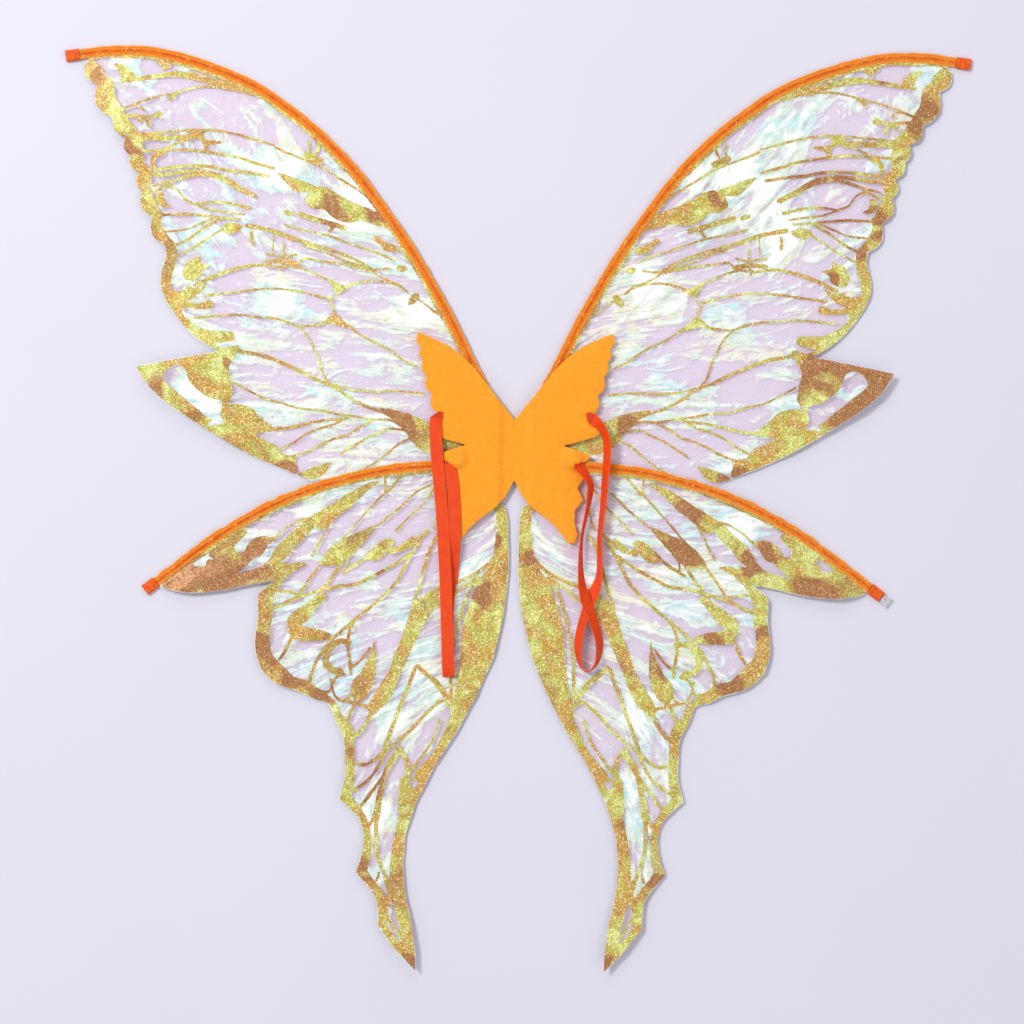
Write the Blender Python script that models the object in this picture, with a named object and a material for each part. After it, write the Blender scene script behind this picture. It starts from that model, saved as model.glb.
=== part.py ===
"""Fairy wings: four wire-framed film wings on a butterfly-shaped felt back pad.

The wings lie flat with the wearer's side up. +X is the wearer-side viewer's right, +Y runs
towards the upper wing tips and +Z rises towards the wearer's back. The outlines below are in
millimetres from the middle of the pad's crease, for the wing on +X. The wing on -X is its mirror
image. Both halves of the pad fold about axes beside the crease, and each lower wing also bends
forward from its upper wing.
"""

import math

import bmesh
import bpy
from mathutils import Vector

MM = 0.001

# Driving dimensions, in millimetres.
CREASE_Y = 53.0  # the crease's middle lies this far above the middle of the whole outline
AXIS_X = 7.6  # each fold axis beside the crease
AXIS_Z = 4.85
FELT_THICK = 1.5
FILM_THICK = 0.3
CASING_WIDTH = 9.0
CASING_HEIGHT = 4.0
CASING_WALL = 0.5
WIRE_RADIUS = 1.0
TAB_LENGTH = 12.5
TAB_WIDTH = 10.5
TAB_HEIGHT = 4.4
TAB_CHAMFER = 1.2
CLEAR_END_LENGTH = 9.0  # the bare clear film end that shows past one lower tab
CLEAR_END_WIDTH = 9.0
CLEAR_END_HEIGHT = 1.2
CLEAR_END_SIDE = "right"
TIP_GAP = 0.4  # between the pieces along a spar's tip
STRAP_WIDTH = 11.0
STRAP_THICK = 1.0
FILM_GAP = 0.4  # between a film's edge and its casing

# Heights of the layers, in millimetres above the surface that the wings lie on.
REAR_FELT_Z = 0.75
FRONT_FELT_Z = 8.25
REAR_CREASE_Z = 3.95
FRONT_CREASE_Z = 5.75
UPPER_FILM_Z = 2.55
LOWER_FILM_Z = 3.45
UPPER_SPAR_Z = (3.9, 2.3)  # at the pad and at the tip
LOWER_SPAR_Z = (5.2, 2.3)
UPPER_SPAR_DROP = (90.0, 330.0)  # the spar falls from one height to the other over these X
LOWER_SPAR_DROP = (215.0, 318.0)

# The pad is pinched flat beside the crease and opens to its full height over these X.
PAD_INNER_X = 8.0
PAD_FULL_X = 16.0
STRIP_X = 5.4
PAD_SPLIT = 0.3  # half the gap between the upper and lower felt lobes

# Spars, from the pad outwards.
UPPER_SPAR = [
    (16, 24), (20, 42), (27.5, 56), (38, 75), (58.7, 117), (87.5, 167.5), (117, 211), (146.3, 249.5),
    (175, 279), (205.5, 304), (239, 326), (281, 343), (326, 354.5), (366, 355.5), (394, 352),
]  # fmt: skip
LOWER_SPAR = [
    (16, -7), (30, -11), (52, -13.5), (83, -15.5), (115, -19), (148, -26.5), (180, -36),
    (212, -49), (244, -66), (276, -87), (305, -109), (321, -121.5),
]  # fmt: skip
UPPER_CASING_FROM = 2  # the casing starts at this point of its spar, under the felt
LOWER_CASING_FROM = 1

# Upper film: a scalloped outer edge, then a swallow-tail lobe and the lower edge.
UPPER_SCALLOPS = [
    (390, 343), (379, 325), (364, 294), (352, 277), (348.5, 261), (340, 246), (337.5, 229),
    (328, 206), (316, 180),
]  # fmt: skip
UPPER_FLANK = [
    (316, 180), (315, 171), (319, 158), (319.5, 146), (314, 130), (298, 108), (283, 95), (268, 86),
]  # fmt: skip
UPPER_LOBE_TOP = [(268, 86), (297, 80.5), (340.5, 71.5)]
UPPER_LOBE_BOTTOM = [
    (340.5, 71.5), (327, 51.5), (305, 33.5), (273.5, 13.5), (249, -1), (225, -12.5), (200, -22.5),
    (180, -31),
]  # fmt: skip
UPPER_ROOT = [
    (180, -31), (148, -26.5), (115, -19.5), (84, -15), (76, -12), (73, -1), (58, 5.5), (44, 8),
    (26, 8), (22, 20),
]  # fmt: skip

# Lower film: from the spar's tip to a notch, round to the tail, and the inner edge to the pad.
LOWER_TIP = [(316, -127), (292, -131.5), (262, -129), (238, -124), (214, -119.5)]
LOWER_OUTER = [
    (214, -119.5), (223, -125.5), (229.5, -133), (229, -150), (231, -166), (231.5, -180),
    (226, -199), (211, -213), (190, -219.5), (177, -226.5), (165, -229.5), (159, -245),
    (151.5, -259), (150, -279), (150, -296), (155, -315),
]  # fmt: skip
LOWER_STEP_A = [(155, -315), (141, -328), (133.5, -341), (133, -360), (139.5, -381)]
LOWER_STEP_B = [(139.5, -381), (128, -394), (120, -407), (118.5, -429)]
LOWER_TAIL = [(118.5, -429), (104, -448), (84, -469)]
LOWER_INNER = [
    (84, -469), (84.5, -452), (88, -427), (94.5, -398), (96.5, -373), (94, -346), (84.5, -317),
    (69, -285), (50, -255), (31.5, -221), (16.5, -186), (7.5, -146), (4, -112), (4, -87), (5, -62),
    (8, -50), (22, -46), (24, -22),
]  # fmt: skip

# Felt pad: the +X half of the butterfly.
PAD_TOP = [
    (8, 36.5), (15, 44.5), (28, 62), (36.5, 72.5), (47.5, 83), (61, 93), (74, 99), (87, 104.5),
]  # fmt: skip
PAD_SCALLOPS = [(87, 104.5), (84, 91), (82.5, 79), (79, 66), (74, 49.5), (67.5, 31)]
PAD_LOBE = [(67.5, 31), (78, 17), (72, 12.5), (59, 8.5), (43, 4)]
PAD_LOWER_TOP = [(43, 4), (56, -0.5), (67, -4.5), (65, -9), (53, -15)]
PAD_LOWER_STEPS = [
    (53, -15), (62, -25), (56.5, -34), (62, -44.5), (54.5, -53.5), (54, -64), (57, -76), (54.5, -83),
]  # fmt: skip
PAD_BOTTOM = [(54.5, -83), (49.5, -83.5), (41, -72), (30, -61.5), (16, -51), (8, -42)]
PAD_SPLIT_INNER = (8, 1)  # where the line between the felt lobes meets the crease
STRIP = [(0, 27), (STRIP_X, 33.5), (STRIP_X, -38.5), (0, -27.5), (-STRIP_X, -38.5), (-STRIP_X, 33.5)]

# Elastic straps: X, Y, Z and the lean of the strap's width in degrees, 0 lying flat and 90 on edge.
LEFT_STRAP = [
    (-70.5, 28, 9.9, 0), (-71, 22, 10.3, 0), (-70.6, 12, 10.6, 0), (-69.4, -6, 10.8, 0),
    (-66.6, -34, 10.8, 0), (-64, -62, 10.8, 0), (-61.6, -98, 10.8, 0), (-60, -132, 10.6, 0),
    (-58.6, -168, 10.6, 0), (-57.4, -194, 10.2, 0), (-57, -202.5, 8.8, 0), (-57, -204, 6.8, 0),
    (-57.2, -201.5, 5, 0), (-58, -193, 4.6, 0), (-58.6, -168, 4.6, 0), (-58, -134, 4.6, 0),
    (-55, -112, 4.9, 0), (-54, -98, 7.2, 0), (-53, -82, 9.9, 0), (-53, -62, 10, 0),
    (-54.5, -36, 9.9, 0), (-56.5, -22, 9.9, 0), (-57.5, -13, 9.9, 0),
]  # fmt: skip
RIGHT_STRAP = [
    (70, 28, 11.8, 20), (77, 21.5, 13.8, 45), (82, 11, 13, 54), (83, -3, 13, 56),
    (81.8, -22, 12.6, 58), (80, -48, 10.4, 64), (77.2, -76, 9.7, 70), (77.4, -98, 9.6, 68),
    (76.6, -115, 9, 58), (71, -131, 7.2, 28), (64, -149, 8.4, 48), (59, -171, 8.8, 54),
    (60, -189, 9.4, 72), (66.5, -198.5, 9.8, 90), (75.5, -190, 9.6, 112), (77.6, -172, 9.4, 130),
    (72, -152, 11.6, 140), (65, -134.5, 14.4, 146), (61, -116, 12.4, 124), (60.2, -92, 10, 108),
    (61.6, -74, 9.8, 104), (66.5, -50, 10, 112), (68.4, -32, 12.4, 124), (63.5, -22, 14, 134),
    (57.5, -15, 12.2, 160),
]  # fmt: skip

# Colour, roughness and metallic value of each material.
FELT = ("felt", (1.0, 0.39, 0.035), 0.95, 0.0)
FILM = ("film", (0.86, 0.78, 0.9), 0.12, 0.0)
RIBBON = ("ribbon", (0.88, 0.22, 0.012), 0.4, 0.0)
TAB = ("tab_ribbon", (0.85, 0.12, 0.01), 0.5, 0.0)
ELASTIC = ("elastic", (0.9, 0.07, 0.006), 0.6, 0.0)
STEEL = ("steel", (0.55, 0.55, 0.56), 0.35, 1.0)
LINING = ("lining_film", (0.68, 0.66, 0.68), 0.35, 0.0)


def smooth(value, start, end):
    """0 before start, 1 after end, and a smooth step between them."""
    t = min(max((value - start) / (end - start), 0.0), 1.0)
    return t * t * (3 - 2 * t)


def curve_through(points, steps):
    """Catmull-Rom curve through points of any dimension, with steps segments between two of them."""
    knots = [Vector(p) for p in points]
    knots = [knots[0] * 2 - knots[1]] + knots + [knots[-1] * 2 - knots[-2]]
    curve = []
    for a, b, c, d in zip(knots, knots[1:], knots[2:], knots[3:]):
        for i in range(steps):
            t = i / steps
            curve.append(
                0.5 * (2 * b + (c - a) * t + (2 * a - 5 * b + 4 * c - d) * t**2
                       + (3 * b - 3 * c + d - a) * t**3)
            )  # fmt: skip
    return curve + [knots[-2]]


def scallops(notches, bulge, steps):
    """Arcs from notch to notch that stand out to the right of the way along, by bulge of a chord."""
    edge = [Vector(notches[0])]
    for a, b in zip(notches, notches[1:]):
        a, b = Vector(a), Vector(b)
        outward = Vector((a.y - b.y, b.x - a.x))
        for i in range(1, steps + 1):
            t = i / steps
            edge.append(a.lerp(b, t) + outward * bulge * math.sin(math.pi * t))
    return edge


def beside(points, distance):
    """The line of points moved sideways, to the right of the way along for a positive distance."""
    moved = []
    for i, point in enumerate(points):
        along = (points[min(i + 1, len(points) - 1)] - points[max(i - 1, 0)]).normalized()
        moved.append(point + Vector((along.y, -along.x)) * distance)
    return moved


def joined(*lines):
    """One outline from lines that each start where the last one ended."""
    outline = list(lines[0])
    for line in lines[1:]:
        outline += [Vector(p) for p in line[1:]]
    return outline


def turns_left(outline):
    """True for an outline that runs anticlockwise, seen from above."""
    pairs = zip(outline, list(outline[1:]) + [outline[0]])
    return sum(a[0] * b[1] - b[0] * a[1] for a, b in pairs) > 0


def spar_path(spar, heights, drop):
    """Centre line of a spar as 3D points, its height falling from heights[0] to heights[1]."""
    low_by = heights[0] - heights[1]
    return [
        Vector((p.x, p.y, heights[0] - low_by * smooth(p.x, *drop))) for p in curve_through(spar, 2)
    ]


def make_material(spec):
    name, colour, roughness, metallic = spec
    material = bpy.data.materials.get(name) or bpy.data.materials.new(name)
    material.use_nodes = True
    shader = material.node_tree.nodes["Principled BSDF"]
    shader.inputs["Base Color"].default_value = (*colour, 1.0)
    shader.inputs["Roughness"].default_value = roughness
    shader.inputs["Metallic"].default_value = metallic
    return material


def add_object(name, data, pivot, spec):
    """Links an object whose data is measured from its pivot, and parents it to the pivot."""
    data.materials.append(make_material(spec))
    item = bpy.data.objects.new(name, data)
    bpy.context.collection.objects.link(item)
    item.parent = pivot
    return item


def placed(point, side, pivot):
    """A point in millimetres from the crease, in metres from the pivot, mirrored for side -1."""
    world = Vector((point[0] * side, point[1] + CREASE_Y, point[2])) * MM
    return world - pivot.location


def face_out(bm):
    """Makes the faces of one closed body point outwards."""
    bmesh.ops.recalc_face_normals(bm, faces=bm.faces)
    if bm.calc_volume(signed=True) < 0:
        bmesh.ops.reverse_faces(bm, faces=bm.faces)


def mesh_object(name, bm, pivot, spec):
    mesh = bpy.data.meshes.new(name)
    bm.to_mesh(mesh)
    bm.free()
    return add_object(name, mesh, pivot, spec)


def sheet(name, outline, height, thickness, side, pivot, spec, cuts=()):
    """A flat or bent sheet: height is a function of X, and cuts are the X of its bending lines."""
    bm = bmesh.new()
    corners = list(outline) if turns_left(outline) == (side > 0) else list(reversed(outline))
    bm.faces.new([bm.verts.new((p[0], p[1], 0)) for p in corners])
    bm.normal_update()  # the triangles below depend on which way the face looks
    for x in cuts:
        everything = bm.verts[:] + bm.edges[:] + bm.faces[:]
        bmesh.ops.bisect_plane(bm, geom=everything, plane_co=(x, 0, 0), plane_no=(1, 0, 0))
    bmesh.ops.triangulate(bm, faces=bm.faces)
    for vert in bm.verts:
        vert.co = placed((vert.co.x, vert.co.y, height(vert.co.x)), side, pivot)
    item = mesh_object(name, bm, pivot, spec)
    solid = item.modifiers.new("thickness", "SOLIDIFY")
    solid.thickness = thickness * MM
    solid.offset = 0
    solid.use_even_offset = True
    return item


def tube_between_rings(name, rings, side, pivot, spec, closed_profile):
    """Skins rings of points. A closed profile joins its last ring to its first, point by point."""
    bm = bmesh.new()
    loops = [[bm.verts.new(placed(p, side, pivot)) for p in ring] for ring in rings]
    count = len(loops[0])
    for a, b in zip(loops, loops[1:]):
        for i in range(count):
            j = (i + 1) % count
            bm.faces.new((a[i], a[j], b[j], b[i]))
    if closed_profile:
        for i in range(count):
            j = (i + 1) % count
            bm.faces.new((loops[-1][i], loops[-1][j], loops[0][j], loops[0][i]))
    else:
        bm.faces.new(loops[0])
        bm.faces.new(loops[-1])
    face_out(bm)
    item = mesh_object(name, bm, pivot, spec)
    item.data.shade_smooth()
    item.data.set_sharp_from_angle(angle=math.radians(40))
    return item


def casing(name, path, side, pivot):
    """Ribbon sleeve around a spar wire: an oval tube, open at both ends."""
    sides = 10

    def ring(index, wall):
        along = path[min(index + 1, len(path) - 1)] - path[max(index - 1, 0)]
        across = Vector((along.y, -along.x, 0)).normalized()
        half_width, half_height = CASING_WIDTH / 2 - wall, CASING_HEIGHT / 2 - wall
        points = []
        for k in range(sides):
            angle = 2 * math.pi * k / sides
            up = Vector((0, 0, math.sin(angle) * half_height))
            points.append(path[index] + across * math.cos(angle) * half_width + up)
        return points

    count = len(path)
    outer = [ring(i, 0) for i in range(count)]
    inner = [ring(i, CASING_WALL) for i in reversed(range(count))]
    return tube_between_rings(name, outer + inner, side, pivot, RIBBON, True)


def wire(name, path, side, pivot):
    """Round spring wire as a bevelled curve with filled ends."""
    curve = bpy.data.curves.new(name, "CURVE")
    curve.dimensions = "3D"
    curve.bevel_depth = WIRE_RADIUS * MM
    curve.bevel_resolution = 1
    curve.use_fill_caps = True
    spline = curve.splines.new("POLY")
    spline.points.add(len(path) - 1)
    for point, knot in zip(path, spline.points):
        knot.co = (*placed(point, side, pivot), 1)
    return add_object(name, curve, pivot, STEEL)


def tip_block(name, path, start, size, chamfer, side, pivot, spec):
    """Flat block past the end of a spar, from start on, with its long edges chamfered."""
    length, width, height = size
    along = (path[-1] - path[-2]).normalized()
    across = Vector((along.y, -along.x, 0)).normalized()
    up = across.cross(along)
    half_width, half_height = width / 2, height / 2
    profile = [
        (half_width, half_height - chamfer), (half_width - chamfer, half_height),
        (chamfer - half_width, half_height), (-half_width, half_height - chamfer),
        (-half_width, chamfer - half_height), (chamfer - half_width, -half_height),
        (half_width - chamfer, -half_height), (half_width, chamfer - half_height),
    ]  # fmt: skip
    rings = []
    for distance in (start, start + length):
        middle = path[-1] + along * distance
        rings.append([middle + across * y + up * z for y, z in profile])
    return tube_between_rings(name, rings, side, pivot, spec, False)


def tip_tab(name, path, side, pivot):
    """Folded square of ribbon over the end of a spar, just past its casing."""
    size = (TAB_LENGTH, TAB_WIDTH, TAB_HEIGHT)
    return tip_block(name, path, TIP_GAP, size, TAB_CHAMFER, side, pivot, TAB)


def clear_end(name, path, side, pivot):
    """Bare end of the casing's clear lining film, past the folded ribbon."""
    start = TAB_LENGTH + 2 * TIP_GAP
    size = (CLEAR_END_LENGTH, CLEAR_END_WIDTH, CLEAR_END_HEIGHT)
    return tip_block(name, path, start, size, CLEAR_END_HEIGHT / 4, side, pivot, LINING)


def strap(name, route, side, pivot):
    """Flat elastic strap along a route of X, Y, Z and lean, given for the side that it is on."""
    rings = []
    line = curve_through(route, 3)
    for i, knot in enumerate(line):
        along = (line[min(i + 1, len(line) - 1)] - line[max(i - 1, 0)]).xyz.normalized()
        lean = math.radians(knot.w)
        width = Vector((math.cos(lean), 0, math.sin(lean)))
        width = (width - along * width.dot(along)).normalized() * STRAP_WIDTH / 2
        depth = along.cross(width).normalized() * STRAP_THICK / 2
        corners = (width + depth, depth - width, -width - depth, width - depth)
        rings.append([knot.xyz + corner for corner in corners])
    return tube_between_rings(name, rings, side, pivot, ELASTIC, False)


def felt_height(flat, pinched):
    """Height of a felt layer over X: pinched beside the crease, flat further out."""
    return lambda x: pinched + (flat - pinched) * smooth(abs(x), PAD_INNER_X, PAD_FULL_X)


def felt_layer(layer, flat, pinched, side_name, side, upper, lower):
    """The upper and lower lobes of one felt layer on one side."""
    notch, inner = Vector(PAD_LOBE[-1]), Vector(PAD_SPLIT_INNER)
    gap = Vector((0, PAD_SPLIT))
    upper_outline = joined(
        curve_through(PAD_TOP, 1), scallops(PAD_SCALLOPS, 0.22, 4), curve_through(PAD_LOBE[1:], 2)
    )[:-1] + [notch + gap, inner + gap]
    lower_outline = [inner - gap, notch - gap] + joined(
        curve_through(PAD_LOWER_TOP, 2), PAD_LOWER_STEPS, curve_through(PAD_BOTTOM, 1)
    )[1:]
    cuts = [PAD_INNER_X + 2, PAD_INNER_X + 4, PAD_INNER_X + 6, PAD_FULL_X]
    height = felt_height(flat, pinched)
    for part, outline, pivot in (("upper", upper_outline, upper), ("lower", lower_outline, lower)):
        name = f"{layer}_felt_{part}_{side_name}"
        sheet(name, outline, height, FELT_THICK, side, pivot, FELT, cuts)


def upper_wing(side_name, side, pivot):
    path = spar_path(UPPER_SPAR, UPPER_SPAR_Z, UPPER_SPAR_DROP)
    sleeve = path[2 * UPPER_CASING_FROM :]
    casing(f"upper_casing_{side_name}", sleeve, side, pivot)
    wire(f"upper_wire_{side_name}", path, side, pivot)
    tip_tab(f"upper_tip_tab_{side_name}", path, side, pivot)
    spar_edge = beside([p.xy for p in sleeve[:-1]], CASING_WIDTH / 2 + FILM_GAP)
    outline = joined(
        spar_edge + [Vector(UPPER_SCALLOPS[0])],
        scallops(UPPER_SCALLOPS, 0.24, 4),
        curve_through(UPPER_FLANK, 2),
        curve_through(UPPER_LOBE_TOP, 2),
        curve_through(UPPER_LOBE_BOTTOM, 2),
        UPPER_ROOT,
    )
    name = f"upper_film_{side_name}"
    sheet(name, outline, lambda x: UPPER_FILM_Z, FILM_THICK, side, pivot, FILM)


def lower_wing(side_name, side, pivot):
    path = spar_path(LOWER_SPAR, LOWER_SPAR_Z, LOWER_SPAR_DROP)
    sleeve = path[2 * LOWER_CASING_FROM :]
    casing(f"lower_casing_{side_name}", sleeve, side, pivot)
    wire(f"lower_wire_{side_name}", path, side, pivot)
    tip_tab(f"lower_tip_tab_{side_name}", path, side, pivot)
    if side_name == CLEAR_END_SIDE:
        clear_end(f"lower_tip_lining_{side_name}", path, side, pivot)
    spar_edge = beside([p.xy for p in sleeve[:-1]], CASING_WIDTH / 2 + FILM_GAP)
    outline = joined(
        spar_edge + [Vector(LOWER_TIP[0])],
        curve_through(LOWER_TIP, 2),
        curve_through(LOWER_OUTER, 2),
        curve_through(LOWER_STEP_A, 2),
        curve_through(LOWER_STEP_B, 2),
        LOWER_TAIL,
        curve_through(LOWER_INNER, 1),
    )
    name = f"lower_film_{side_name}"
    sheet(name, outline, lambda x: LOWER_FILM_Z, FILM_THICK, side, pivot, FILM)


def axis_empty(name, x):
    """Empty on a fold axis, which holds the pieces that turn about it."""
    empty = bpy.data.objects.new(name, None)
    empty.location = Vector((x, CREASE_Y, AXIS_Z)) * MM
    bpy.context.collection.objects.link(empty)
    return empty


def build():
    for item in list(bpy.data.objects):
        bpy.data.objects.remove(item)
    spine = axis_empty("spine_origin", 0)
    for layer, height in (("front", FRONT_CREASE_Z), ("rear", REAR_CREASE_Z)):
        name = f"{layer}_felt_centre"
        sheet(name, STRIP, lambda x, z=height: z, FELT_THICK, 1, spine, FELT)
    for side_name, side, route in (("left", -1, LEFT_STRAP), ("right", 1, RIGHT_STRAP)):
        upper = axis_empty(f"{side_name}_fold_axis", side * AXIS_X)
        lower = axis_empty(f"{side_name}_lower_fold_axis", side * AXIS_X)
        upper_wing(side_name, side, upper)
        lower_wing(side_name, side, lower)
        felt_layer("front", FRONT_FELT_Z, FRONT_CREASE_Z, side_name, side, upper, lower)
        felt_layer("rear", REAR_FELT_Z, REAR_CREASE_Z, side_name, side, upper, lower)
        strap(f"strap_{side_name}", route, 1, lower)


build()
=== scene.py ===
"""Looks of the fairy wings: film, glitter print, ribbon sleeves, felt pad and elastic straps.

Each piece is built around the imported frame. Plan sizes are in millimetres from the middle of the
pad's crease, for the wing on +X; the wing on -X is its mirror image with its own wrinkles. Heights
are in millimetres above the floor. UPPER_SPAR, LOWER_SPAR and STRAPS repeat the part's own routes.
Lines, widths and reaches without a unit are in millimetres too, and only meshes are in metres.
"""

import math

import bpy
import numpy as np
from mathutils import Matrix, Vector


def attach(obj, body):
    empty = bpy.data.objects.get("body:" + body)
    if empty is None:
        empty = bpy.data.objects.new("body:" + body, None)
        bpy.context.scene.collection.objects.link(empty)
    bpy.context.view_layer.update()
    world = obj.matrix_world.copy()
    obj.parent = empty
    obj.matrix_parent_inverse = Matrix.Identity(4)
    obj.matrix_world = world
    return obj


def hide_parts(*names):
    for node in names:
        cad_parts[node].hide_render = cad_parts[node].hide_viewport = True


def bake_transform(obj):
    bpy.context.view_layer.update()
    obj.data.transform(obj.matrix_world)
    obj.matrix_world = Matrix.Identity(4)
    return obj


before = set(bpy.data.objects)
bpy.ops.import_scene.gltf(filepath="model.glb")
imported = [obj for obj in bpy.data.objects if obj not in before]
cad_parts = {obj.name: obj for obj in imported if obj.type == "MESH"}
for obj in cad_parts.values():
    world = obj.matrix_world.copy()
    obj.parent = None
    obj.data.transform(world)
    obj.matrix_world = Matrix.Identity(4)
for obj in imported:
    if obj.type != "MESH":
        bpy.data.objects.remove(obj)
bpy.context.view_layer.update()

MM = 0.001
CREASE_Y = 53.0  # the crease's middle in the row frame
SIDES = (("left", -1), ("right", 1))
AXIS_X = 7.6  # fold axes beside the crease
AXIS_Z = 4.85
CASING_WIDTH = 9.0
CASING_HALF_THICK = 0.38  # at the sleeve's flat flanges
WIRE_RIDGE = (1.2, 0.0, 1.45)  # the sleeve's ridge over the wire: height, middle and spread
PIPING_RIDGE = (0.42, 3.85, 0.55)  # and its rolled edges
LINE_STEP = 1.5  # between a spar line's points
STRAP_WIDTH = 11.0
STRAP_THICK = 0.95
STRAP_STEP = 1.1
ROOT_SHARES = [0.0, 0.35, 0.7, 1.0]  # places along a strap's folded end
ROOT_WIDTHS = [1.0, 0.8, 0.52, 0.30]  # and its width there, as a share of the strap's
FELT_THICK = 1.5
FELT_STEP = 0.9  # grid of the felt's surface
FELT_RIM_DROOP = 0.9  # the front felt sinks this far at its rim
FELT_ROLL_RADIUS = 1.62  # felt rolled over each fold axis
MIDDLE_CORNERS = (27.0, -27.5, 36.1, -41.6)  # the strip's top and bottom Y at the crease and edges
FELT_HEIGHTS = {"front": (8.25, 5.75), "rear": (0.75, 3.95)}  # middle of the layer: open, pinched
FELT_OPEN_X = (8.0, 16.0)  # the layer goes from pinched to open over these X
FELT_EDGE = 0.12  # the rear felt's thickness left at a fold axis
FOLD_SLOPE = 0.75  # how far from the axis the rear felt gains 1 mm of thickness
TAB_LENGTH = 12.5
TAB_START = 0.4
TAB_HALF_WIDTH = 5.1
TAB_HALF_THICK = 1.62
TAB_STITCH_FROM = 3.2  # from the tab's start to its line of stitches
LINING_LENGTH = 9.0
LINING_HALF_WIDTH = 4.4
FILM_STEP = 1.4  # grid of the film's surface
PRINT_STEP = 0.95  # grid of the print's surface
PRINT_LIFT = 0.14  # the print lies this far above the film
CLEAR_MARGIN = 0.5  # bare film outside the print
COPPER_AND_SHADE_DRIFT = 11  # the edges of the copper zones, own brown and painted shade, wander this far
UNDER_SLEEVE = 2.4  # the film reaches this far under its sleeve
EDGE_PRINT = {"upper": 5.0, "lower": 6.5}  # width of the print along the free edges
EDGE_PRINT_FROM = {"upper": 205.0, "lower": 48.0}  # and how far from the crease it starts

# The upper film reaches on between the felt layers, where the pad's side notch shows it.
FILM_ROOT = np.array([(38, 12), (38, -1), (60, -4), (77, -9), (84, 4), (60, 16)], float)
SPLIT_LINE = np.array([(8, 1, 0), (43, 4, 0)], float)  # where the pad's upper and lower lobes meet
STRAP_LUMPS = [(52, -8, 13)]  # the front felt rises over the strap's lower end: X, Y and reach
STRAP_LUMP_HEIGHT = 3.3

UPPER_SPAR = [
    (16, 24), (20, 42), (27.5, 56), (38, 75), (58.7, 117), (87.5, 167.5), (117, 211), (146.3, 249.5),
    (175, 279), (205.5, 304), (239, 326), (281, 343), (326, 354.5), (366, 355.5), (394, 352),
]  # fmt: skip
LOWER_SPAR = [
    (16, -7), (30, -11), (52, -13.5), (83, -15.5), (115, -19), (148, -26.5), (180, -36),
    (212, -49), (244, -66), (276, -87), (305, -109), (321, -121.5),
]  # fmt: skip
SPARS = {
    # route, height at the pad and at the tip, X over which it drops, first point under a sleeve,
    # and how far the sleeve's edge wobbles
    "upper": (UPPER_SPAR, (3.9, 2.3), (90.0, 330.0), 2, 0.22),
    "lower": (LOWER_SPAR, (5.2, 2.3), (215.0, 318.0), 1, 0.5),
}
FILM_HEIGHT = {"upper": 2.55, "lower": 3.45}

STRAPS = {
    # X, Y, Z and the lean of the strap's width in degrees, 0 lying flat and 90 on edge
    "left": [
        (-70.5, 28, 9.9, 0), (-71, 22, 10.3, 0), (-70.6, 12, 10.6, 0), (-69.4, -6, 10.8, 0),
        (-66.6, -34, 10.8, 0), (-64, -62, 10.8, 0), (-61.6, -98, 10.8, 0), (-60, -132, 10.6, 0),
        (-58.6, -168, 10.6, 0), (-57.4, -194, 10.2, 0), (-57, -202.5, 8.8, 0), (-57, -204, 6.8, 0),
        (-57.2, -201.5, 5, 0), (-58, -193, 4.6, 0), (-58.6, -168, 4.6, 0), (-58, -134, 4.6, 0),
        (-55, -112, 4.9, 0), (-54, -98, 7.2, 0), (-53, -82, 9.9, 0), (-53, -62, 10, 0),
        (-54.5, -36, 9.9, 0), (-56.5, -22, 9.9, 0), (-57.5, -13, 9.9, 0),
    ],
    "right": [
        (70, 28, 11.8, 20), (77, 21.5, 13.8, 45), (82, 11, 13, 54), (83, -3, 13, 56),
        (81.8, -22, 12.6, 58), (80, -48, 10.4, 64), (77.2, -76, 9.7, 70), (77.4, -98, 9.6, 68),
        (76.6, -115, 9, 58), (71, -131, 7.2, 28), (64, -149, 8.4, 48), (59, -171, 8.8, 54),
        (60, -189, 9.4, 72), (66.5, -198.5, 9.8, 90), (75.5, -190, 9.6, 112), (77.6, -172, 9.4, 130),
        (72, -152, 11.6, 140), (65, -134.5, 14.4, 146), (61, -116, 12.4, 124), (60.2, -92, 10, 108),
        (61.6, -74, 9.8, 104), (66.5, -50, 10, 112), (68.4, -32, 12.4, 124), (63.5, -22, 14, 134),
        (57.5, -15, 12.2, 160),
    ],
}  # fmt: skip

# Where each strap's folded ends, upper and lower, are tucked under the felt.
STRAP_TUCKS = {
    "left": [(-65.3, 34.5, 7.4), (-57.0, -7.0, 8.9)],
    "right": [(65.3, 34.5, 7.4), (57.0, -7.0, 8.9)],
}
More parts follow.
